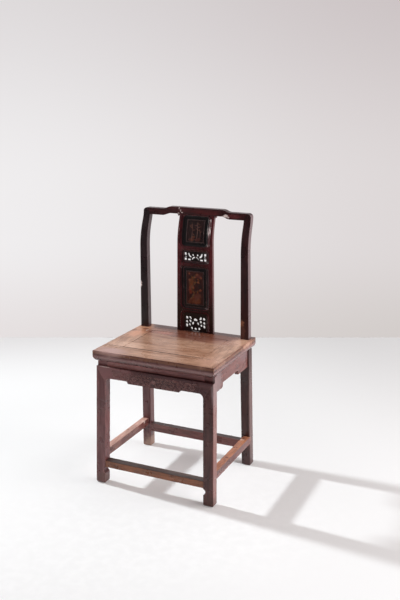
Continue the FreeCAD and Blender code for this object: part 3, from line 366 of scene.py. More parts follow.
SEAT_MARKS = (
    # Painted reflection and shade of the dark splat on the seat in front of it
    Mark((10, 170, SEAT_TOP), (600, 128, SEAT_DEEP), tone(146, 90, 72), 0.55, 0.8, STREAKS, 0.8),
    Mark((10, 170, SEAT_TOP), (200, 142, SEAT_DEEP), tone(112, 60, 44), 0.85, 0.8, STREAKS, 0.7),
    # Painted shade along the back edge of the seat, under the posts and splat
    Mark((0, 194, SEAT_TOP), (EVERYWHERE, 46, SEAT_DEEP), tone(88, 66, 66), 0.8, 0.4, 30),
    Mark((-94, 100, SEAT_TOP), (60, 30, SEAT_DEEP), tone(200, 128, 106), 0.6, 1.2, STREAKS, 0.2),
    Mark((0, 0, 493), (EVERYWHERE, EVERYWHERE, 6), tone(138, 92, 64), 0.55, 0.9, 30),
    Mark((-200, 134, SEAT_TOP), (42, 60, SEAT_DEEP), tone(222, 164, 130), 0.75, 0.9, 40),
    Mark((-190, 56, SEAT_TOP), (42, 74, SEAT_DEEP), tone(236, 170, 136), 0.75, 0.9, 40, 0.2),
    Mark((-140, -85, SEAT_TOP), (96, 54, SEAT_DEEP), tone(236, 194, 168), 0.75, 1.4, STREAKS, 0.1),
    Mark((-170, -170, SEAT_TOP), (90, 44, SEAT_DEEP), tone(200, 164, 158), 0.85, 1.2, STREAKS, 0.15),
    Mark((188, -130, SEAT_TOP), (64, 76, SEAT_DEEP), tone(218, 172, 150), 0.65, 1.0, 26, 0.1),
    Mark((206, 110, SEAT_TOP), (48, 76, SEAT_DEEP), tone(228, 182, 156), 0.75, 0.9, 40, 0.2),
    Mark((120, -60, SEAT_TOP), (120, 46, SEAT_DEEP), tone(156, 106, 78), 0.35, 1.4, STREAKS),
    Mark((-186, 118, SEAT_TOP), (16, 14, SEAT_DEEP), tone(116, 52, 42), 0.75, 1.2, 70),
    Mark((-160, 96, SEAT_TOP), (20, 10, SEAT_DEEP), tone(128, 64, 50), 0.6, 1.2, 70),
    Mark((-172, 104, SEAT_TOP), (3, 14, SEAT_DEEP), tone(236, 214, 204), 0.7, 0.8, 120),
    Mark((-10, -112.3, 498), (260, 4.2, 14), tone(50, 28, 22), 0.9, 0.7, 60, 0.5),
    Mark((152.3, 0, 497), (2.2, 150, 6), tone(206, 164, 138), 0.75, 0.6, 60, 0.7),
    # Painted highlight along the roll under the seat's edges
    Mark((0, 0, 478), (EVERYWHERE, EVERYWHERE, 6), tone(158, 122, 120), 0.5, 0.5, 30),
)
CREST_MARKS = (
    Mark((40, 170, 948), (80, 40, 9), tone(84, 24, 25), 0.7, 0.8, 40),
    Mark((-130, 170, 940), (50, 40, 8), tone(62, 18, 20), 0.6, 0.8, 40),
    Mark((148, 170, 941), (34, 40, 9), tone(100, 44, 46), 0.8, 0.7, 50),
    Mark((-65, 164, 960), (2.2, 14, 6), PALE_CHIP, 0.9, 0.8, 260),
    Mark((-60, 164, 950), (2.6, 14, 5), PALE_CHIP, 0.85, 0.9, 260),
    Mark((-54, 164, 943), (4.5, 14, 2.8), PALE_CHIP, 0.8, 0.9, 260),
    Mark((-68, 164, 940), (5, 14, 2.4), PALE_CHIP, 0.8, 0.9, 260),
    Mark((118, 164, 941), (11, 12, 7), PALE_CHIP, 1.0, 0.6, 240),
    Mark((108, 164, 939), (9, 12, 2.4), PALE_CHIP, 0.8, 0.9, 260),
    Mark((128, 164, 936), (5, 12, 3), PALE_CHIP, 0.8, 0.9, 260),
)
LEFT_POST_MARKS = (
    Mark((-219, 141, 668), (9, 11, 17), PALE_CHIP, 0.95, 1.2, 170),
    # Painted shade on the right-hand face of the left rear leg
    Mark((-188, 165, 250), (14, 80, 300), tone(84, 60, 60), 0.2, 0.4, 30),
    Mark((-205, 190, 10), (60, 60, 60), tone(156, 124, 108), 0.85, 0.9, 60),
)
RIGHT_POST_MARKS = (
    Mark((194, 150, 560), (10, 30, 17), tone(146, 96, 72), 0.85, 1.6, 110),
    Mark((197, 150, 528), (13, 30, 34), tone(96, 58, 50), 0.7, 1.4, 70),
    # Painted light on the right-hand face of the right rear leg
    Mark((230, 165, 250), (12, 80, 300), tone(156, 126, 124), 0.28, 0.4, 30),
    Mark((205, 190, 80), (30, 20, 16), tone(140, 104, 90), 0.45, 1.0, 80),
    Mark((199, 172, 112), (5, 16, 18), tone(176, 140, 126), 0.8, 1.2, 120),
)
# Painted light: a pale line where the tops of the left leg and apron catch the light below the waist
APRON_LEFT_PAINTED_LIGHT = (Mark((-190, -185, 441), (34, 20, 3), tone(206, 184, 178), 0.9, 0.5, 90),)
APRON_MARKS = (
    # Painted light on the left end of the front apron
    Mark((-160, -185, 425), (110, 40, 50), tone(150, 102, 102), 0.6, 0.6, 30),
    # Painted shade on the apron round the carving
    Mark((10, -190, 414), (175, 30, 19), tone(42, 20, 22), 0.6, 0.8, 60),
) + APRON_LEFT_PAINTED_LIGHT
# Painted light on the left part of the waist
WAIST_PAINTED_LIGHT = (Mark((-150, -165, 460), (220, 60, 40), tone(174, 118, 114), 0.65, 0.5, 30),)
# Painted light on the top of the left front leg beside the waist, where shade falls
LEG_TOP_PAINTED_LIGHT = (Mark((-200, -170, 462), (60, 60, 24), tone(146, 100, 98), 0.6, 0.5, 30),)
LEFT_FOOT = (Mark((-205, -185, 6), (60, 60, 44), tone(86, 60, 50), 0.55, 0.6, 60),)
RIGHT_LEG_MARKS = (
    # Painted light on the top of the right front leg beside the waist
    Mark((200, -170, 464), (60, 60, 22), tone(120, 70, 68), 0.75, 0.4, 30, 0.8),
    # Painted light on the right-hand face of the right front leg
    Mark((226, -170, 425), (14, 50, 90), tone(140, 122, 124), 0.6, 0.4, 30),
    Mark((205, -185, 6), (60, 60, 44), tone(74, 44, 34), 0.55, 0.6, 60),
)
SIDE_MARKS = (
    Mark((0, -130, 430), (EVERYWHERE, 46, 70), tone(132, 112, 114), 0.65, 0.4, 30),
    Mark((0, 120, 455), (EVERYWHERE, 80, 30), tone(128, 106, 110), 0.5, 0.6, 30),
)
LEFT_BAR_MARKS = (
    Mark((-205, 40, 130), (30, 70, 40), tone(156, 112, 98), 0.4, 1.4, BAR_STREAKS),
    Mark((-205, -90, 120), (30, 40, 40), tone(160, 114, 100), 0.35, 1.4, BAR_STREAKS),
    Mark((-203, 122, 130), (20, 9, 30), tone(236, 212, 202), 0.7, 1.0, 90),
)
RIGHT_BAR_MARKS = (Mark((203, 122, 110), (20, 9, 30), tone(226, 196, 182), 0.65, 1.0, 90),)
PLAQUE_MARKS = (
    Mark((-14, 160, 690), (13, 30, 20), tone(128, 70, 30), 0.6, 1.6, 170),
    Mark((-18, 160, 662), (9, 30, 24), tone(140, 60, 38), 0.6, 1.4, 170),
    Mark((8, 160, 632), (22, 30, 20), tone(112, 62, 46), 0.65, 1.4, 170),
    Mark((12, 160, 712), (16, 30, 10), tone(104, 48, 40), 0.6, 1.4, 170),
    Mark((18, 160, 674), (9, 30, 14), tone(24, 12, 14), 0.7, 1.4, 170),
    Mark((-20, 160, 718), (9, 30, 9), tone(70, 24, 40), 0.6, 1.2, 170),
)


# Finishes, named after the slots that they fill or the pieces that have one of their own

FRAME_WORN, SHADY_WORN, SPLAT_WORN = (154, 110, 94), (132, 88, 72), (104, 50, 46)
FROM_FLOOR = (0, 1)
POST_CHANGE, POST_SIDE_LIGHT = (486, 512), (486, 520)
BAR_COVER = (0.2, 0.4)
SEAT = dict(**tones((76, 40, 38), (104, 62, 58), (150, 100, 68)), wear=0.9, rough=0.26,
            top=(tone(152, 108, 84), tone(216, 172, 146)), top_cover=(0.15, 0.35), marks=SEAT_MARKS)
SPLAT = dict(**tones((28, 4, 6), (46, 10, 12), SPLAT_WORN), specular=0.42,
             high=(575, 690, tone(74, 20, 25), tone(104, 34, 40)))
INLAY_WORN = (140, 92, 64)


def inlaid(dark, light):
    return dict(along="z", **tones(dark, light, INLAY_WORN), wear=0.3, specular=0.16)


FINISHES = {
    "upright_wood": dict(
        along="z", **tones((88, 46, 48), (124, 77, 77), (176, 126, 112)), wear=0.7,
        marks=LEG_TOP_PAINTED_LIGHT + LEFT_FOOT + APRON_LEFT_PAINTED_LIGHT),
    # A darker copy of the upright wood, as painted shade on the right front leg, with painted light on its
    # right-hand faces
    "right_leg_shaded_wood": dict(
        along="z", **tones((58, 25, 24), (90, 48, 44), SHADY_WORN), specular=0.42, marks=RIGHT_LEG_MARKS,
        painted_side_light=(*FROM_FLOOR, tone(158, 112, 106), 0.6)),
    # Painted light on the right-hand faces of the left rear post above the seat
    "left_post_wood": dict(
        along="z", **tones((78, 40, 42), (116, 70, 70), FRAME_WORN), specular=0.45, marks=LEFT_POST_MARKS,
        high=(*POST_CHANGE, tone(22, 3, 8), tone(40, 10, 16)), painted_side_light=(*POST_SIDE_LIGHT, tone(128, 112, 116), 0.3)),
    # A darker copy of the left post's wood, as painted shade on the right rear post, with painted light on
    # its right-hand faces above the seat
    "right_post_shaded_wood": dict(
        along="z", **tones((46, 20, 20), (76, 40, 38), SHADY_WORN), specular=0.45, marks=RIGHT_POST_MARKS,
        high=(*POST_CHANGE, tone(36, 8, 11), tone(60, 20, 23)), painted_side_light=(*POST_SIDE_LIGHT, tone(132, 114, 117), 0.7)),
    "front_bar_wood": dict(
        along="x", **tones((97, 53, 31), (144, 88, 56), (166, 112, 78)), wear=0.6,
        top=(tone(66, 50, 46), tone(98, 78, 72)), top_cover=BAR_COVER),
    "stretcher_cross_wood": dict(
        along="x", **tones((90, 45, 42), (132, 81, 75), (190, 140, 130)), wear=1.0,
        top=(tone(62, 44, 44), tone(94, 70, 68)), top_cover=BAR_COVER),
    "stretcher_side_wood": dict(
        along="y", **tones((84, 46, 44), (126, 80, 74), (186, 136, 114)), wear=0.7,
        top=(tone(144, 84, 58), tone(190, 128, 96)), marks=RIGHT_BAR_MARKS),
    # The side stretcher wood with a paler top on the left stretcher: worn bare, and painted light where the
    # key lamp falls on it
    "left_bar_lit_top_wood": dict(
        along="y", **tones((84, 46, 44), (126, 80, 74), (196, 150, 130)), wear=0.7,
        top=(tone(194, 142, 128), tone(232, 192, 178)), top_cover=BAR_COVER, marks=LEFT_BAR_MARKS),
    "seat_cross_wood": dict(along="x", **SEAT),
    "seat_side_wood": dict(along="y", **SEAT),
    "seat_panel_wood": dict(along="x", **SEAT),
    "seat_brace_wood": dict(along="y", **tones((84, 52, 42), (124, 86, 70), FRAME_WORN)),
    "apron_wood": dict(
        # Painted shade along the top of the front apron, under the waist
        along="x", **tones((66, 34, 35), (102, 60, 60), FRAME_WORN), painted_shade_band=(429, 438), marks=APRON_MARKS),
    "carving_wood": dict(along="x", **tones((112, 72, 70), (150, 106, 102), (156, 118, 112)), wear=0.5),
    # Lighter tones stand for painted light on the waist; painted shade darkens its foot above the apron
    "waist_wood": dict(
        along="x", **tones((116, 68, 68), (158, 105, 104), FRAME_WORN), painted_shade_band=(443, 439), marks=WAIST_PAINTED_LIGHT),
    "side_board_wood": dict(
        along="y", **tones((96, 54, 52), (138, 90, 84), (168, 122, 106)), marks=SIDE_MARKS),
    "crest_wood": dict(
        along="x", **tones((46, 12, 15), (74, 25, 28), (86, 44, 40)), specular=0.4, rough=0.28,
        marks=CREST_MARKS),
    # Painted light on the right-hand faces of the stiles
    "stile_wood": dict(along="z", **SPLAT, rough=0.24, painted_side_light=(*FROM_FLOOR, tone(132, 106, 106), 0.5)),
    "splat_cross_wood": dict(along="x", **SPLAT, rough=0.26),
    "rim_wood": dict(along="z", **tones((46, 10, 14), (82, 25, 31), SPLAT_WORN), rough=0.2, specular=0.35),
    "slope_wood": dict(along="z", **tones((34, 8, 11), (58, 19, 24), SPLAT_WORN), specular=0.35),
    "slope_black": dict(along="z", **tones((12, 8, 11), (24, 17, 21), (60, 38, 40)), wear=0.2, specular=0.3),
    "bead_wood": dict(along="z", **tones((58, 26, 32), (88, 48, 54), (120, 78, 76)), specular=0.45),
    "black_panel": dict(
        along="z", **tones((9, 6, 8), (19, 13, 15), (60, 38, 34)), wear=0.2, specular=0.35, rough=0.24),
    "fret_wood": dict(along="x", **tones((16, 6, 7), (34, 15, 15), (86, 52, 44)), specular=0.35),
    "inlay_moulding": dict(along="z", **tones((48, 30, 32), (80, 56, 56), (124, 94, 86))),
    "inlay_upper": dict(along="z", **tones((24, 10, 12), (46, 21, 20), (90, 52, 42)), specular=0.3),
    "inlay_lower": dict(
        along="z", **tones((44, 14, 12), (82, 32, 22), (120, 70, 44)), specular=0.3, marks=PLAQUE_MARKS),
    "inlay_rock": inlaid((78, 34, 24), (116, 62, 40)),
    "inlay_branch": inlaid((78, 56, 30), (112, 82, 46)),
    "inlay_leaves": inlaid((104, 58, 26), (146, 84, 40)),
    "inlay_petals": inlaid((112, 56, 40), (146, 88, 70)),
    "inlay_reed": inlaid((58, 36, 36), (92, 62, 58)),
    "inlay_stone": inlaid((60, 29, 29), (90, 50, 44)),
}
OWN_FINISHES = {
    "front_leg_right": "right_leg_shaded_wood",
    "rear_post_left": "left_post_wood",
    "rear_post_right": "right_post_shaded_wood",
    "stretcher_front": "front_bar_wood",
    "stretcher_left": "left_bar_lit_top_wood",
    "waist_front": "waist_wood",
}
finishes = {name: wood(name, **values) for name, values in FINISHES.items()}


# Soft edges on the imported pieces, in metres

SOFT_EDGES = {"crest_rail": 0.005, "splat_stile_left": 0.0022, "splat_stile_right": 0.0022,
              "front_leg_left": 0.002, "front_leg_right": 0.002}
COMMON_SOFT_EDGE = 0.0012
FINE_SOFT_EDGE = 0.0004
FINE_NODES = ("fret", "inlay", "splat_rail", "splat_panel")
WIDE_SEGMENTS, NARROW_SEGMENTS = 3, 2
SHARP_ANGLE, FLAT_ANGLE = 35, 0.8
WELD_GAP = 0.00001
EVEN_WEIGHT = 60
FOOTED = ("front_leg_left", "front_leg_right", "rear_post_left", "rear_post_right")
FOOT_ROUND = 0.006
ON_FLOOR = 0.0005


def round_foot(piece):
    """Rounds the edges that stand on the floor more than the others."""
    foot = piece.vertex_groups.new(name="foot")
    standing = [point.index for point in piece.data.vertices if (piece.matrix_world @ point.co).z < ON_FLOOR]
    foot.add(standing, 1.0, "REPLACE")
    rounding = piece.modifiers.new("foot", "BEVEL")
    rounding.width = FOOT_ROUND
    rounding.segments = WIDE_SEGMENTS
    rounding.limit_method = "VGROUP"
    rounding.vertex_group = foot.name


def soften(piece, width, flatten):
    """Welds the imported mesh, joins its flat parts and rounds its edges."""
    weld = piece.modifiers.new("weld", "WELD")
    weld.merge_threshold = WELD_GAP
    if flatten:
        flat = piece.modifiers.new("flat", "DECIMATE")
        flat.decimate_type = "DISSOLVE"
        flat.angle_limit = math.radians(FLAT_ANGLE)
    if piece.name in FOOTED:
        round_foot(piece)
    rounding = piece.modifiers.new("rounding", "BEVEL")
    rounding.width = width
    rounding.segments = WIDE_SEGMENTS if width > COMMON_SOFT_EDGE else NARROW_SEGMENTS
    rounding.limit_method = "ANGLE"
    rounding.angle_limit = math.radians(SHARP_ANGLE)
    rounding.miter_outer = "MITER_ARC"
    even = piece.modifiers.new("even", "WEIGHTED_NORMAL")
    even.weight = EVEN_WEIGHT


for name, piece in nodes.items():
    piece.data.materials.clear()
    piece.data.materials.append(finishes[OWN_FINISHES.get(name, slot_of[name])])
    fine = name.startswith(FINE_NODES)
    soften(piece, SOFT_EDGES.get(name, FINE_SOFT_EDGE if fine else COMMON_SOFT_EDGE), not fine)


# Low relief in millimetres: rounded strips along flat paths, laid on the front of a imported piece

FRONT, BACK = -1.0, 1.0
INSET = 0.5
SUNK = 0.25
ROUND_STEPS = 6
HEIGHT_BY_WIDTH = 1.5
CURL_TIGHTEN, CURL_EYE, CURL_TAPER = 0.8, 0.1, 0.45
LEAF_BELLY, LEAF_TIP = 0.8, 0.06
PETALS, PETAL_STEPS = 5, 5


def face_of(name, across, side=FRONT):
    """The depth of a piece's front, or of its back, by height at one place across."""
    mesh = bmesh.new()
    mesh.from_mesh(nodes[name].data)
    tree = BVHTree.FromBMesh(mesh)
    mesh.free()

    def depth(up):
        hit = tree.ray_cast(Vector((across * MM, side, up * MM)), Vector((0, -side, 0)))[0]
        return hit.y / MM
    return depth


def laid_on(depth, half, low, high):
    """Turns a place across and up and a rise into a point on that front, kept in its field."""
    def lay(across, up, rise):
        across = min(max(across, -half), half)
        up = min(max(up, low), high)
        return Vector((across, depth(up) - rise, up)) * MM
    return lay


def field_of(name):
    """A lay for the whole front of a piece."""
    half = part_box(name)[1][0] / MM - INSET
    return laid_on(face_of(name, 0), half, foot_of(name) + INSET, top_of(name) - INSET)


def sweep(relief, rings, closed=False):
    """Joins rings of points into one closed skin."""
    pairs = list(zip(rings, rings[1:])) + ([(rings[-1], rings[0])] if closed else [])
    count = len(rings[0])
    for first, second in pairs:
        for step in range(count):
            following = (step + 1) % count
            relief.faces.new((first[step], first[following], second[following], second[step]))
    if not closed:
        relief.faces.new(rings[0])
        relief.faces.new(list(reversed(rings[-1])))


def strip(relief, path, width, height, lay):
    """Adds a rounded strip along (across, up, share of the width) points, lower where it is narrow."""
    rings = []
    for index, (across, up, share) in enumerate(path):
        before = path[max(index - 1, 0)]
        after = path[min(index + 1, len(path) - 1)]
        heading = math.atan2(after[1] - before[1], after[0] - before[0])
        ring = []
        for step in range(ROUND_STEPS + 1):
            angle = math.pi * step / ROUND_STEPS
            out = math.cos(angle) * width * share / 2
            rise = math.sin(angle) * height * min(1, share * HEIGHT_BY_WIDTH) - SUNK
            point = lay(across - math.sin(heading) * out, up + math.cos(heading) * out, rise)
            ring.append(relief.verts.new(point))
        rings.append(ring)
    sweep(relief, rings)


def add_piece(name, mesh_data, material, smooth=True):
    """Makes a piece that belongs to the chair."""
    bmesh.ops.recalc_face_normals(mesh_data, faces=mesh_data.faces)
    mesh = bpy.data.meshes.new(name)
    mesh_data.to_mesh(mesh)
    mesh_data.free()
    for face in mesh.polygons:
        face.use_smooth = smooth
    mesh.materials.append(material)
    piece = bpy.data.objects.new(name, mesh)
    scene.collection.objects.link(piece)
    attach(piece, "root")


def relief_piece(name, parts, lay, material):
    """One piece of relief from (path, width, height) parts."""
    relief = bmesh.new()
    for path, width, height in parts:
        strip(relief, path, width, height, lay)
    add_piece(name, relief, material)


def spiral(centre, radius, turns, start, hand, steps):
    """A curl that winds inwards from its start angle, in degrees; hand is 1 or -1."""
    path = []
    for step in range(steps + 1):
        share = step / steps
        angle = math.radians(start) + hand * share * turns * 2 * math.pi
        reach = radius * (1 - share) ** CURL_TIGHTEN + radius * CURL_EYE
        place = (centre[0] + math.cos(angle) * reach, centre[1] + math.sin(angle) * reach)
        path.append((*place, 1 - CURL_TAPER * share))
    return path


def leaf(base, heading, length, bend=0.0, steps=8):
    """A pointed leaf that starts at its base and curves by bend degrees."""
    path = []
    across, up = base
    for step in range(steps + 1):
        share = step / steps
        path.append((across, up, max(LEAF_TIP, math.sin(math.pi * share ** LEAF_BELLY))))
        angle = math.radians(heading + bend * share)
        across += math.cos(angle) * length / steps
        up += math.sin(angle) * length / steps
    return path


def between(four, t):
    """A point on the smooth curve from the second to the third of four points."""
    weights = (-t + 2 * t * t - t ** 3, 2 - 5 * t * t + 3 * t ** 3,
               t + 4 * t * t - 3 * t ** 3, t ** 3 - t * t)
    return [sum(weight * point[axis] for weight, point in zip(weights, four)) / 2 for axis in (0, 1)]


def stem(points, start=1.0, end=0.35, steps=8):
    """A smooth tapering stem through the points."""
    path = []
    padded = [points[0]] + points + [points[-1]]
    spans = len(points) - 1
    for index in range(spans):
        for step in range(steps + (index == spans - 1)):
            t = step / steps
            share = (index + t) / spans
            path.append((*between(padded[index:index + 4], t), start + (end - start) * share))
    return path


def blossom(centre, radius, turn):
    """Petals round a centre, each a short leaf."""
    return [leaf(centre, turn + 360 * petal / PETALS, radius, steps=PETAL_STEPS) for petal in range(PETALS)]


# Carving on the front apron: a flower in the middle, and rows of small curls and leaves on both sides

APRON_HALF, APRON_LOW, APRON_HIGH = 172, 394, 434
CurlRow = namedtuple("CurlRow", "up reach shift")
CURL_ROWS = (CurlRow(426.5, 166, 1.0), CurlRow(416.5, 162, 0.5),
             CurlRow(406.5, 156, 1.0), CurlRow(398, 86, 0.5))
CURL_SPACING = 9.4
CURL, CURL_TURNS, CURL_STEPS = 4.2, 1.3, 14
CURL_WIDTH, CURL_HEIGHT = 1.9, 1.6
TURN_STEP, TURN_ROW = 137.5, 70
WAVE, WAVE_STEP = 1.2, 2.1
LEAF_LONG, LEAF_WIDTH, LEAF_HEIGHT = 7.5, 3.2, 1.4
LEAF_BEHIND, LEAF_BEND = 150, 40
FLOWER_HALF, FLOWER_FOOT = 8, 406
FLOWER_LONG, FLOWER_WIDTH, FLOWER_HEIGHT = 17, 6.0, 1.5
FLOWER_HEADINGS = (150, 120, 90, 60, 30)


def sprig(across, up, turn, hand):
    """A curl with a leaf behind it."""
    start = turn if hand > 0 else 180 - turn
    curl = spiral((hand * across, up), CURL, CURL_TURNS, start, hand, CURL_STEPS)
    behind = leaf((hand * across, up), start + hand * LEAF_BEHIND, LEAF_LONG, hand * LEAF_BEND)
    return [(curl, CURL_WIDTH, CURL_HEIGHT), (behind, LEAF_WIDTH, LEAF_HEIGHT)]


def carving_parts():
    parts = []
    for count, row in enumerate(CURL_ROWS):
        for step in range(int(row.reach / CURL_SPACING)):
            across = (step + row.shift) * CURL_SPACING
            if across < FLOWER_HALF:
                continue
            up = row.up + WAVE * math.sin(WAVE_STEP * step + count)
            for hand in (1, -1):
                parts += sprig(across, up, TURN_STEP * step + TURN_ROW * count, hand)
    for heading in FLOWER_HEADINGS:
        parts.append((leaf((0, FLOWER_FOOT), heading, FLOWER_LONG), FLOWER_WIDTH, FLOWER_HEIGHT))
    return parts


apron_lay = laid_on(face_of("apron_front", 0), APRON_HALF, APRON_LOW, APRON_HIGH)
relief_piece("apron_carving", carving_parts(), apron_lay, finishes["carving_wood"])


# Sloping mouldings round the fields of the splat, run on stiles and cross rails, with rounded corners

FIELD_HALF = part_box("splat_stile_right")[0][0] / MM
RIM = 4.0
SIDE_RIM, TOP_SIDE_RIM, SIDE_SLOPE, ON_STILE = 8.0, 12.0, 6.0, 10.0
RIM_HALF, TOP_RIM_HALF = FIELD_HALF + SIDE_RIM, FIELD_HALF + TOP_SIDE_RIM
INNER_HALF = FIELD_HALF - SIDE_SLOPE
INSIDE_STILE = FIELD_HALF + ON_STILE
RIM_FOOT = 2.5
RIM_PROFILE = ((0.0, 2.9), (0.6, 5.0), (1.4, 5.6), (2.2, 5.6), (3.2, 5.15), (4.2, 4.55), (4.9, 4.4))
NARROW_BREAK, WIDE_BREAK = (4.6, 3.8), (6.2, 4.1)
BREAK_LAP = 0.05
SLOPE_PROFILE = ((2.0, 0.9), (0.8, 0.25), (0.0, 0.2))
PANEL_DEPTH = 4.0
SLOPE_INSET, SLOPE_CORNER = 10.0, 8.0
OPENING_GAP = 0.2
OPENING_EDGE = SLOPE_INSET - RIM - OPENING_GAP
CORNER_STEPS, SIDE_STEPS = 6, 12
BEAD, BEAD_STEPS = 1.3, 5
BEADED = ("fret_upper", "panel_middle")
Field = namedtuple("Field", "name low high rim_half closed slope")
FIELDS = (
    Field("panel_top", top_of("splat_rail_upper") - RIM, top_of("splat_stile_left") - INSET,
          TOP_RIM_HALF, True, "slope_black"),
    Field("fret_upper", top_of("splat_rail_middle") - RIM, foot_of("splat_rail_upper") + RIM,
          RIM_HALF, True, "slope_wood"),
    Field("panel_middle", top_of("splat_rail_lower") - RIM, foot_of("splat_rail_middle") + RIM,
          RIM_HALF, True, "slope_black"),
    Field("fret_lower", foot_of("splat_stile_left") + INSET, foot_of("splat_rail_lower") + RIM,
          RIM_HALF, False, "slope_wood"),
)


def changed(pairs, change):
    """The same pairs of points with every point changed."""
    return [(change(inner), change(outer)) for inner, outer in pairs]


def upper_half(field, side_foot):
    """Pairs of inner and outer points from the right side over the top to the left side."""
    top = field.high - SLOPE_INSET
    corner_x, corner_z = INNER_HALF - SLOPE_CORNER, top - SLOPE_CORNER
    right = []
    for step in range(SIDE_STEPS + 1):
        up = side_foot + (corner_z - side_foot) * step / SIDE_STEPS
        right.append(((INNER_HALF, up), (field.rim_half, up)))
    for step in range(1, CORNER_STEPS):
        angle = math.pi / 2 * step / CORNER_STEPS
        out_x, out_z = math.cos(angle), math.sin(angle)
        inner = (corner_x + out_x * SLOPE_CORNER, corner_z + out_z * SLOPE_CORNER)
        outer = (corner_x + out_x * (field.rim_half - corner_x), corner_z + out_z * (field.high - corner_z))
        right.append((inner, outer))
    right.append(((corner_x, top), (corner_x, field.high)))
    return right + changed(reversed(right), lambda point: (-point[0], point[1]))


def field_path(field):
    """Points round a whole field, or round one that is open below."""
    if not field.closed:
        return upper_half(field, field.low)
    both = field.low + field.high
    upper = upper_half(field, both / 2)
    return upper + changed(upper[1:-1], lambda point: (-point[0], both - point[1]))


stile_front = face_of("splat_stile_right", INSIDE_STILE)


def panel_front(up):
    return stile_front(up) + PANEL_DEPTH


def run_round(field, section):
    """A strip round a field; section gives (distance from the inner line, rise) points for a gap's width."""
    lay = laid_on(panel_front, field.rim_half, field.low, field.high)
    relief = bmesh.new()
    rings = []
    for inner, outer in field_path(field):
        gap = math.dist(inner, outer)
        out_x, out_z = (outer[0] - inner[0]) / gap, (outer[1] - inner[1]) / gap
        rings.append([relief.verts.new(lay(inner[0] + out_x * away, inner[1] + out_z * away, rise))
                      for away, rise in section(gap)])
    sweep(relief, rings, field.closed)
    return relief


def slope_break(gap):
    """Where a rim ends and the slope down to the panel begins."""
    widened = min(max((gap - SLOPE_INSET) / (RIM_HALF - INNER_HALF - SLOPE_INSET), 0), 1)
    return tuple(near + (far - near) * widened for near, far in zip(NARROW_BREAK, WIDE_BREAK))


def rim_section(gap):
    """A rounded rim that lies on the edge of a stile or rail."""
    points = [(OPENING_EDGE, RIM_FOOT), (gap, RIM_FOOT)]
    points += [(gap - inward, rise) for inward, rise in RIM_PROFILE]
    return points + [slope_break(gap)]


def slope_section(gap):
    """A slope inside the opening, from the rim down to the panel."""
    away, rise = slope_break(gap)
    return [(OPENING_EDGE, -SUNK), (away - BREAK_LAP, rise - BREAK_LAP), *SLOPE_PROFILE, (0.0, -SUNK)]


def bead_section(gap):
    """A thin half round along the foot of a sloping moulding, the same for every gap."""
    angles = [math.pi * step / BEAD_STEPS for step in range(BEAD_STEPS + 1)]
    return [(math.cos(angle) * BEAD, math.sin(angle) * BEAD - SUNK) for angle in angles]


for field in FIELDS:
    add_piece(f"moulding_{field.name}", run_round(field, rim_section), finishes["rim_wood"])
    slope = run_round(field, slope_section)
    add_piece(f"slope_{field.name}", slope, finishes[field.slope])
    if field.name in BEADED:
        thin = run_round(field, bead_section)
        add_piece(f"bead_{field.name}", thin, finishes["bead_wood"])


# Rounded corners where the stiles meet the crest rail

FLARE = 9.0
FLARE_STEPS = 8
FLARE_BITE = 1.5
FLARE_SHY = 0.3


def flare(name, stile, hand):
    """A hollow corner nearly as thick as the stile, let a little into the stile and the crest rail."""
    high = top_of(stile)
    edge = max(abs(corner[0]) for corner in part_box(stile)) / MM
    outline = [(edge - FLARE_BITE, high + FLARE_BITE), (edge - FLARE_BITE, high - FLARE)]
    for step in range(FLARE_STEPS + 1):
        angle = math.pi - math.pi / 2 * step / FLARE_STEPS
        outline.append((edge + FLARE + math.cos(angle) * FLARE, high - FLARE + math.sin(angle) * FLARE))
    outline.append((edge + FLARE, high + FLARE_BITE))
    piece = bmesh.new()
    sides = []
    for side in (FRONT, BACK):
        depth = face_of(stile, hand * INSIDE_STILE, side)
        points = [(hand * x, depth(min(z, high - INSET)) - side * FLARE_SHY, z) for x, z in outline]
        sides.append([piece.verts.new(Vector(point) * MM) for point in points])
    sweep(piece, sides)
    add_piece(name, piece, finishes["stile_wood"], smooth=False)


flare("stile_flare_right", "splat_stile_right", 1)
flare("stile_flare_left", "splat_stile_left", -1)


# Inlaid pictures, in millimetres from the foot of each plaque: places, headings, lengths and widths

INLAY_RISE = 0.7
BRANCH = [(-16, 20), (-4, 40), (-15, 62), (2, 82), (-6, 102), (8, 116)]
BRANCH_WIDTH = 5.0
TWIGS = ([(-5, 41), (10, 52), (22, 50)], [(-14, 61), (-24, 74), (-22, 88)],
         [(1, 81), (16, 88), (25, 100)], [(-5, 101), (-18, 108), (-24, 115)])
TWIG_WIDTH, TWIG_TAPER = 3.0, (0.8, 0.3)
BLOOMS = (((22, 54), 6.5, 10), ((-22, 90), 6.5, 40), ((24, 101), 6, 70), ((8, 112), 6, 20),
          ((-8, 64), 6, 50), ((12, 84), 5.5, 0), ((-23, 114), 5, 30))
PETAL_WIDTH_SHARE = 0.75
SPRAYS = (((-3, 42), 120, 14), ((-12, 56), 20, 13), ((-17, 66), 200, 10), ((3, 80), 150, 12),
          ((10, 86), -40, 12), ((-5, 98), 30, 12), ((12, 52), 250, 12), ((-20, 78), -30, 10),
          ((16, 90), 130, 11), ((-14, 106), -60, 11))
SPRAY_WIDTH, SPRAY_BEND = 5.0, 24
MOUNDS = (((-30, 6), 8, 34, 20), ((-8, 4), 12, 38, 18), ((-22, 16), 16, 26, 15), ((6, 12), 24, 22, 13))
CANES = ([(-14, 8), (-12, 36), (-16, 68)], [(6, 10), (9, 40), (6, 70)], [(18, 6), (20, 26), (17, 46)])
CANE_WIDTH, CANE_TAPER = 3.4, (1.0, 0.6)
BLADES = (((-14, 48), 140, 16), ((-13, 40), 20, 15), ((-15, 60), 200, 12), ((8, 50), 30, 16),
          ((9, 44), 150, 15), ((6, 66), -20, 14), ((19, 30), 70, 14), ((18, 40), 160, 12),
          ((-12, 30), -30, 13), ((8, 60), 200, 13))
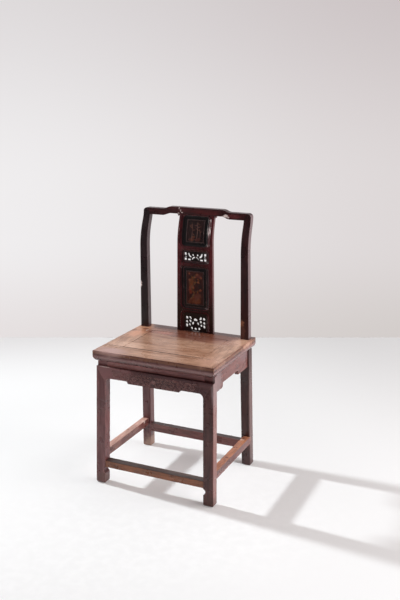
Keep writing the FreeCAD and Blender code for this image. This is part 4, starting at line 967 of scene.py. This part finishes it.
BLADE_WIDTH, BLADE_BEND = 4.0, -18
STONES = (((-28, 6), 6, 30, 15), ((-2, 5), 14, 30, 14), ((-16, 12), 22, 20, 11))


def raised(points, foot):
    return [(across, up + foot) for across, up in points]


def shallow(paths, width):
    return [(path, width, INLAY_RISE) for path in paths]


def stems(rows, foot, width, taper):
    return shallow([stem(raised(row, foot), *taper) for row in rows], width)


def sprays(rows, foot, width, bend):
    return shallow([leaf((x, z + foot), heading, long, bend) for (x, z), heading, long in rows], width)


def mounds(rows, foot):
    return [(leaf((x, z + foot), heading, long), width, INLAY_RISE) for (x, z), heading, long, width in rows]


def flowers(rows, foot):
    parts = []
    for (x, z), radius, turn in rows:
        parts += shallow(blossom((x, z + foot), radius, turn), radius * PETAL_WIDTH_SHARE)
    return parts


def add_flowering_branch():
    """A flowering branch on a rock, in the lower plaque."""
    lay, foot = field_of("inlay_middle"), foot_of("inlay_middle")
    branch = shallow([stem(raised(BRANCH, foot))], BRANCH_WIDTH) + stems(TWIGS, foot, TWIG_WIDTH, TWIG_TAPER)
    leaves = sprays(SPRAYS, foot, SPRAY_WIDTH, SPRAY_BEND)
    relief_piece("inlay_rock_middle", mounds(MOUNDS, foot), lay, finishes["inlay_rock"])
    relief_piece("inlay_branch_middle", branch, lay, finishes["inlay_branch"])
    relief_piece("inlay_leaves_middle", leaves, lay, finishes["inlay_leaves"])
    relief_piece("inlay_petals_middle", flowers(BLOOMS, foot), lay, finishes["inlay_petals"])


def add_bamboo():
    """Bamboo and stones, in the upper plaque."""
    lay, foot = field_of("inlay_top"), foot_of("inlay_top")
    reeds = stems(CANES, foot, CANE_WIDTH, CANE_TAPER) + sprays(BLADES, foot, BLADE_WIDTH, BLADE_BEND)
    relief_piece("inlay_reeds_top", reeds, lay, finishes["inlay_reed"])
    relief_piece("inlay_stones_top", mounds(STONES, foot), lay, finishes["inlay_stone"])


add_flowering_branch()
add_bamboo()


# Floor, far edge at the photograph's floor line; part of what is seen of it is plain white

FLOOR_FAR, FLOOR_NEAR, FLOOR_HALF = 4.43, 1.2, 6.0
FLOOR_WHITE, FLOOR_WHITE_SHARE = tone(255, 254, 254), 0.11
SPECKS, SPECK_SPAN = (30, 30, 30), (0.35, 0.7)
SPECK_TONES = tone(237, 237, 238), tone(242, 242, 243)
SPECK_RELIEF = (0.05, 0.001)
ROOM = tone(100, 95, 97)
ROOM_SPAN = (-0.9, -1.5)
Grade = namedtuple("Grade", "direction start end tone")
TO_LEFT, TO_BACK_LEFT, TO_BACK_RIGHT, TO_FRONT_RIGHT = (-1, 0, 0), (-1, 1, 0), (1, 1, 0), (1, -1, 0)
# Painted light on the floor: lighter to the left, towards the key lamp
LEFT_GRADES = (
    Grade(TO_LEFT, -0.1, 0.65, tone(245, 245, 246)),
    Grade(TO_BACK_LEFT, 0.45, 1.2, tone(237, 237, 238)),
    Grade(TO_BACK_LEFT, 1.5, 2.9, tone(221, 219, 220)),
)
# Painted light on the floor under the chair, against the shade that the chair casts there
UNDER_CHAIR_PAINTED_LIGHT = dict(centre=(-40, 30, 0), reach=(420, 420, 400), ragged=0.0, fine=1, core=0.3)
UNDER_CHAIR_LIGHT_TONE = tone(250, 250, 251)
# Painted shade on the floor: darker to the right and to the back
RIGHT_GRADES = (
    Grade(TO_FRONT_RIGHT, 0.6, 1.3, tone(233, 233, 234)),
    Grade(TO_BACK_RIGHT, -0.1, 0.9, tone(227, 227, 228)),
    Grade(TO_BACK_RIGHT, 0.8, 2.2, tone(213, 212, 213)),
)


def graded(shader, colour, grades):
    """Lays tones of painted light and shade over the floor, each reached between two distances along its
    direction.
    """
    for grade in grades:
        away = shader.vector("DOT_PRODUCT", shader.place, grade.direction)
        colour = shader.mix(shader.span(away, grade.start, grade.end), colour, grade.tone)
    return colour


def floor_finish():
    shader = Shader("floor")
    specks = shader.noise(SPECKS, detail=4, rough=0.6)
    pale = graded(shader, shader.mix(shader.span(specks, *SPECK_SPAN), *SPECK_TONES), LEFT_GRADES)
    pale = graded(shader, shader.mix(shader.spot(**UNDER_CHAIR_PAINTED_LIGHT), pale, UNDER_CHAIR_LIGHT_TONE), RIGHT_GRADES)
    nearness = shader.span(shader.split(shader.place)[1], *ROOM_SPAN)
    pale = shader.mix(shader.math("MULTIPLY", nearness, shader.light_path("Is Glossy Ray")), pale, ROOM)
    ground = shader.node("ShaderNodeBsdfDiffuse", Color=pale, Normal=shader.bump(specks, *SPECK_RELIEF))
    white = shader.node("ShaderNodeEmission", Color=FLOOR_WHITE, Strength=1.0)
    lift = shader.math("MULTIPLY", shader.seen_directly(), FLOOR_WHITE_SHARE)
    return shader.finish(shader.mix_shaders(lift, ground.outputs[0], white.outputs[0]))


def add_floor():
    foot = Vector((CAMERA_PLACE[0], CAMERA_PLACE[1], 0))
    corners = [foot + AHEAD * far + RIGHT * side * FLOOR_HALF
               for far, side in ((FLOOR_NEAR, -1), (FLOOR_NEAR, 1), (FLOOR_FAR, 1), (FLOOR_FAR, -1))]
    mesh = bpy.data.meshes.new("floor")
    mesh.from_pydata([tuple(corner) for corner in corners], [], [(0, 1, 2, 3)])
    mesh.materials.append(floor_finish())
    floor = bpy.data.objects.new("floor", mesh)
    scene.collection.objects.link(floor)


add_floor()


# Surround: a pale wall for what is seen, darker behind the camera in reflections, and even light on the chair

AMBIENT, AMBIENT_TINT = 0.42, (1.0, 0.925, 0.905, 1.0)
WALL = tone(240, 238, 239), tone(221, 215, 215)
WALL_HIGH = tone(221, 217, 218), tone(201, 192, 193)
WALL_LOW = tone(229, 223, 223), tone(209, 203, 200)
RIGHT_SPAN, HIGH_SPAN, LOW_SPAN, BEHIND_SPAN = (-0.3, 0.32), (-0.12, 0.16), (0.17, 0.31), (0.1, 0.7)


class Surround(NodeTree):
    """The world's nodes, with places given by the direction that is looked in."""

    def __init__(self, name):
        scene.world = bpy.data.worlds.new(name)
        scene.world.use_nodes = True
        super().__init__(scene.world.node_tree)
        self.direction = self.tree.nodes.new("ShaderNodeTexCoord").outputs["Generated"]

    def toward(self, direction, span):
        """How far the direction looked in lies between two shares of a given one."""
        return self.span(self.vector("DOT_PRODUCT", self.direction, direction), *span)

    def background(self, colour, strength=1.0):
        return self.node("ShaderNodeBackground", Color=colour, Strength=strength).outputs[0]


def add_surround():
    world = Surround("surround")
    rightward = world.toward(RIGHT, RIGHT_SPAN)
    wall = world.mix(rightward, *WALL)
    wall = world.mix(world.toward(UP, HIGH_SPAN), wall, world.mix(rightward, *WALL_HIGH))
    wall = world.mix(world.toward(-UP, LOW_SPAN), wall, world.mix(rightward, *WALL_LOW))
    mirrored = world.math("MULTIPLY", world.toward(-AHEAD, BEHIND_SPAN), world.light_path("Is Glossy Ray"))
    wall = world.background(world.mix(mirrored, wall, ROOM))
    even = world.background(AMBIENT_TINT, AMBIENT)
    world.node("ShaderNodeOutputWorld", Surface=world.mix_shaders(world.seen_directly(), even, wall))


add_surround()


# Lamps: a low key from the left whose strength stays the same with distance, a glint for reflections only, a
# wide fill on the right

KEY = dict(place=Vector((-2.7, 0.04, 1.37)), watts=11.5, size=0.14, tint=(0.92, 0.985, 1.0))
GLINT = dict(place=Vector((-2.62, -0.66, 1.12)), watts=28, size=0.4, tint=(1.0, 0.86, 0.84))
FILL = dict(place=Vector((3.2, 0.5, 1.3)), watts=110, size=3.0, tint=(1.0, 0.955, 0.94))
CHAIR_MIDDLE = Vector((0, 0, 0.45))


def area_lamp(name, place, watts, size, tint):
    lamp = bpy.data.lights.new(name, "AREA")
    lamp.shape = "DISK"
    lamp.size = size
    lamp.energy = watts
    lamp.color = tint
    holder = bpy.data.objects.new(name, lamp)
    holder.location = place
    holder.rotation_euler = (CHAIR_MIDDLE - place).to_track_quat("-Z", "Y").to_euler()
    scene.collection.objects.link(holder)
    return holder


def keep_from_fading(lamp):
    lamp.use_nodes = True
    tree = lamp.node_tree
    steady = tree.nodes.new("ShaderNodeLightFalloff")
    steady.inputs["Strength"].default_value = 1.0
    tree.links.new(steady.outputs["Constant"], tree.nodes["Emission"].inputs["Strength"])


key = area_lamp("key", **KEY)
key.visible_glossy = False
keep_from_fading(key.data)
glint = area_lamp("glint", **GLINT)
glint.visible_diffuse = False
fill = area_lamp("fill", **FILL)
fill.visible_glossy = False


# Settings

scene.view_settings.view_transform = "Standard"
bpy.context.view_layer.update()
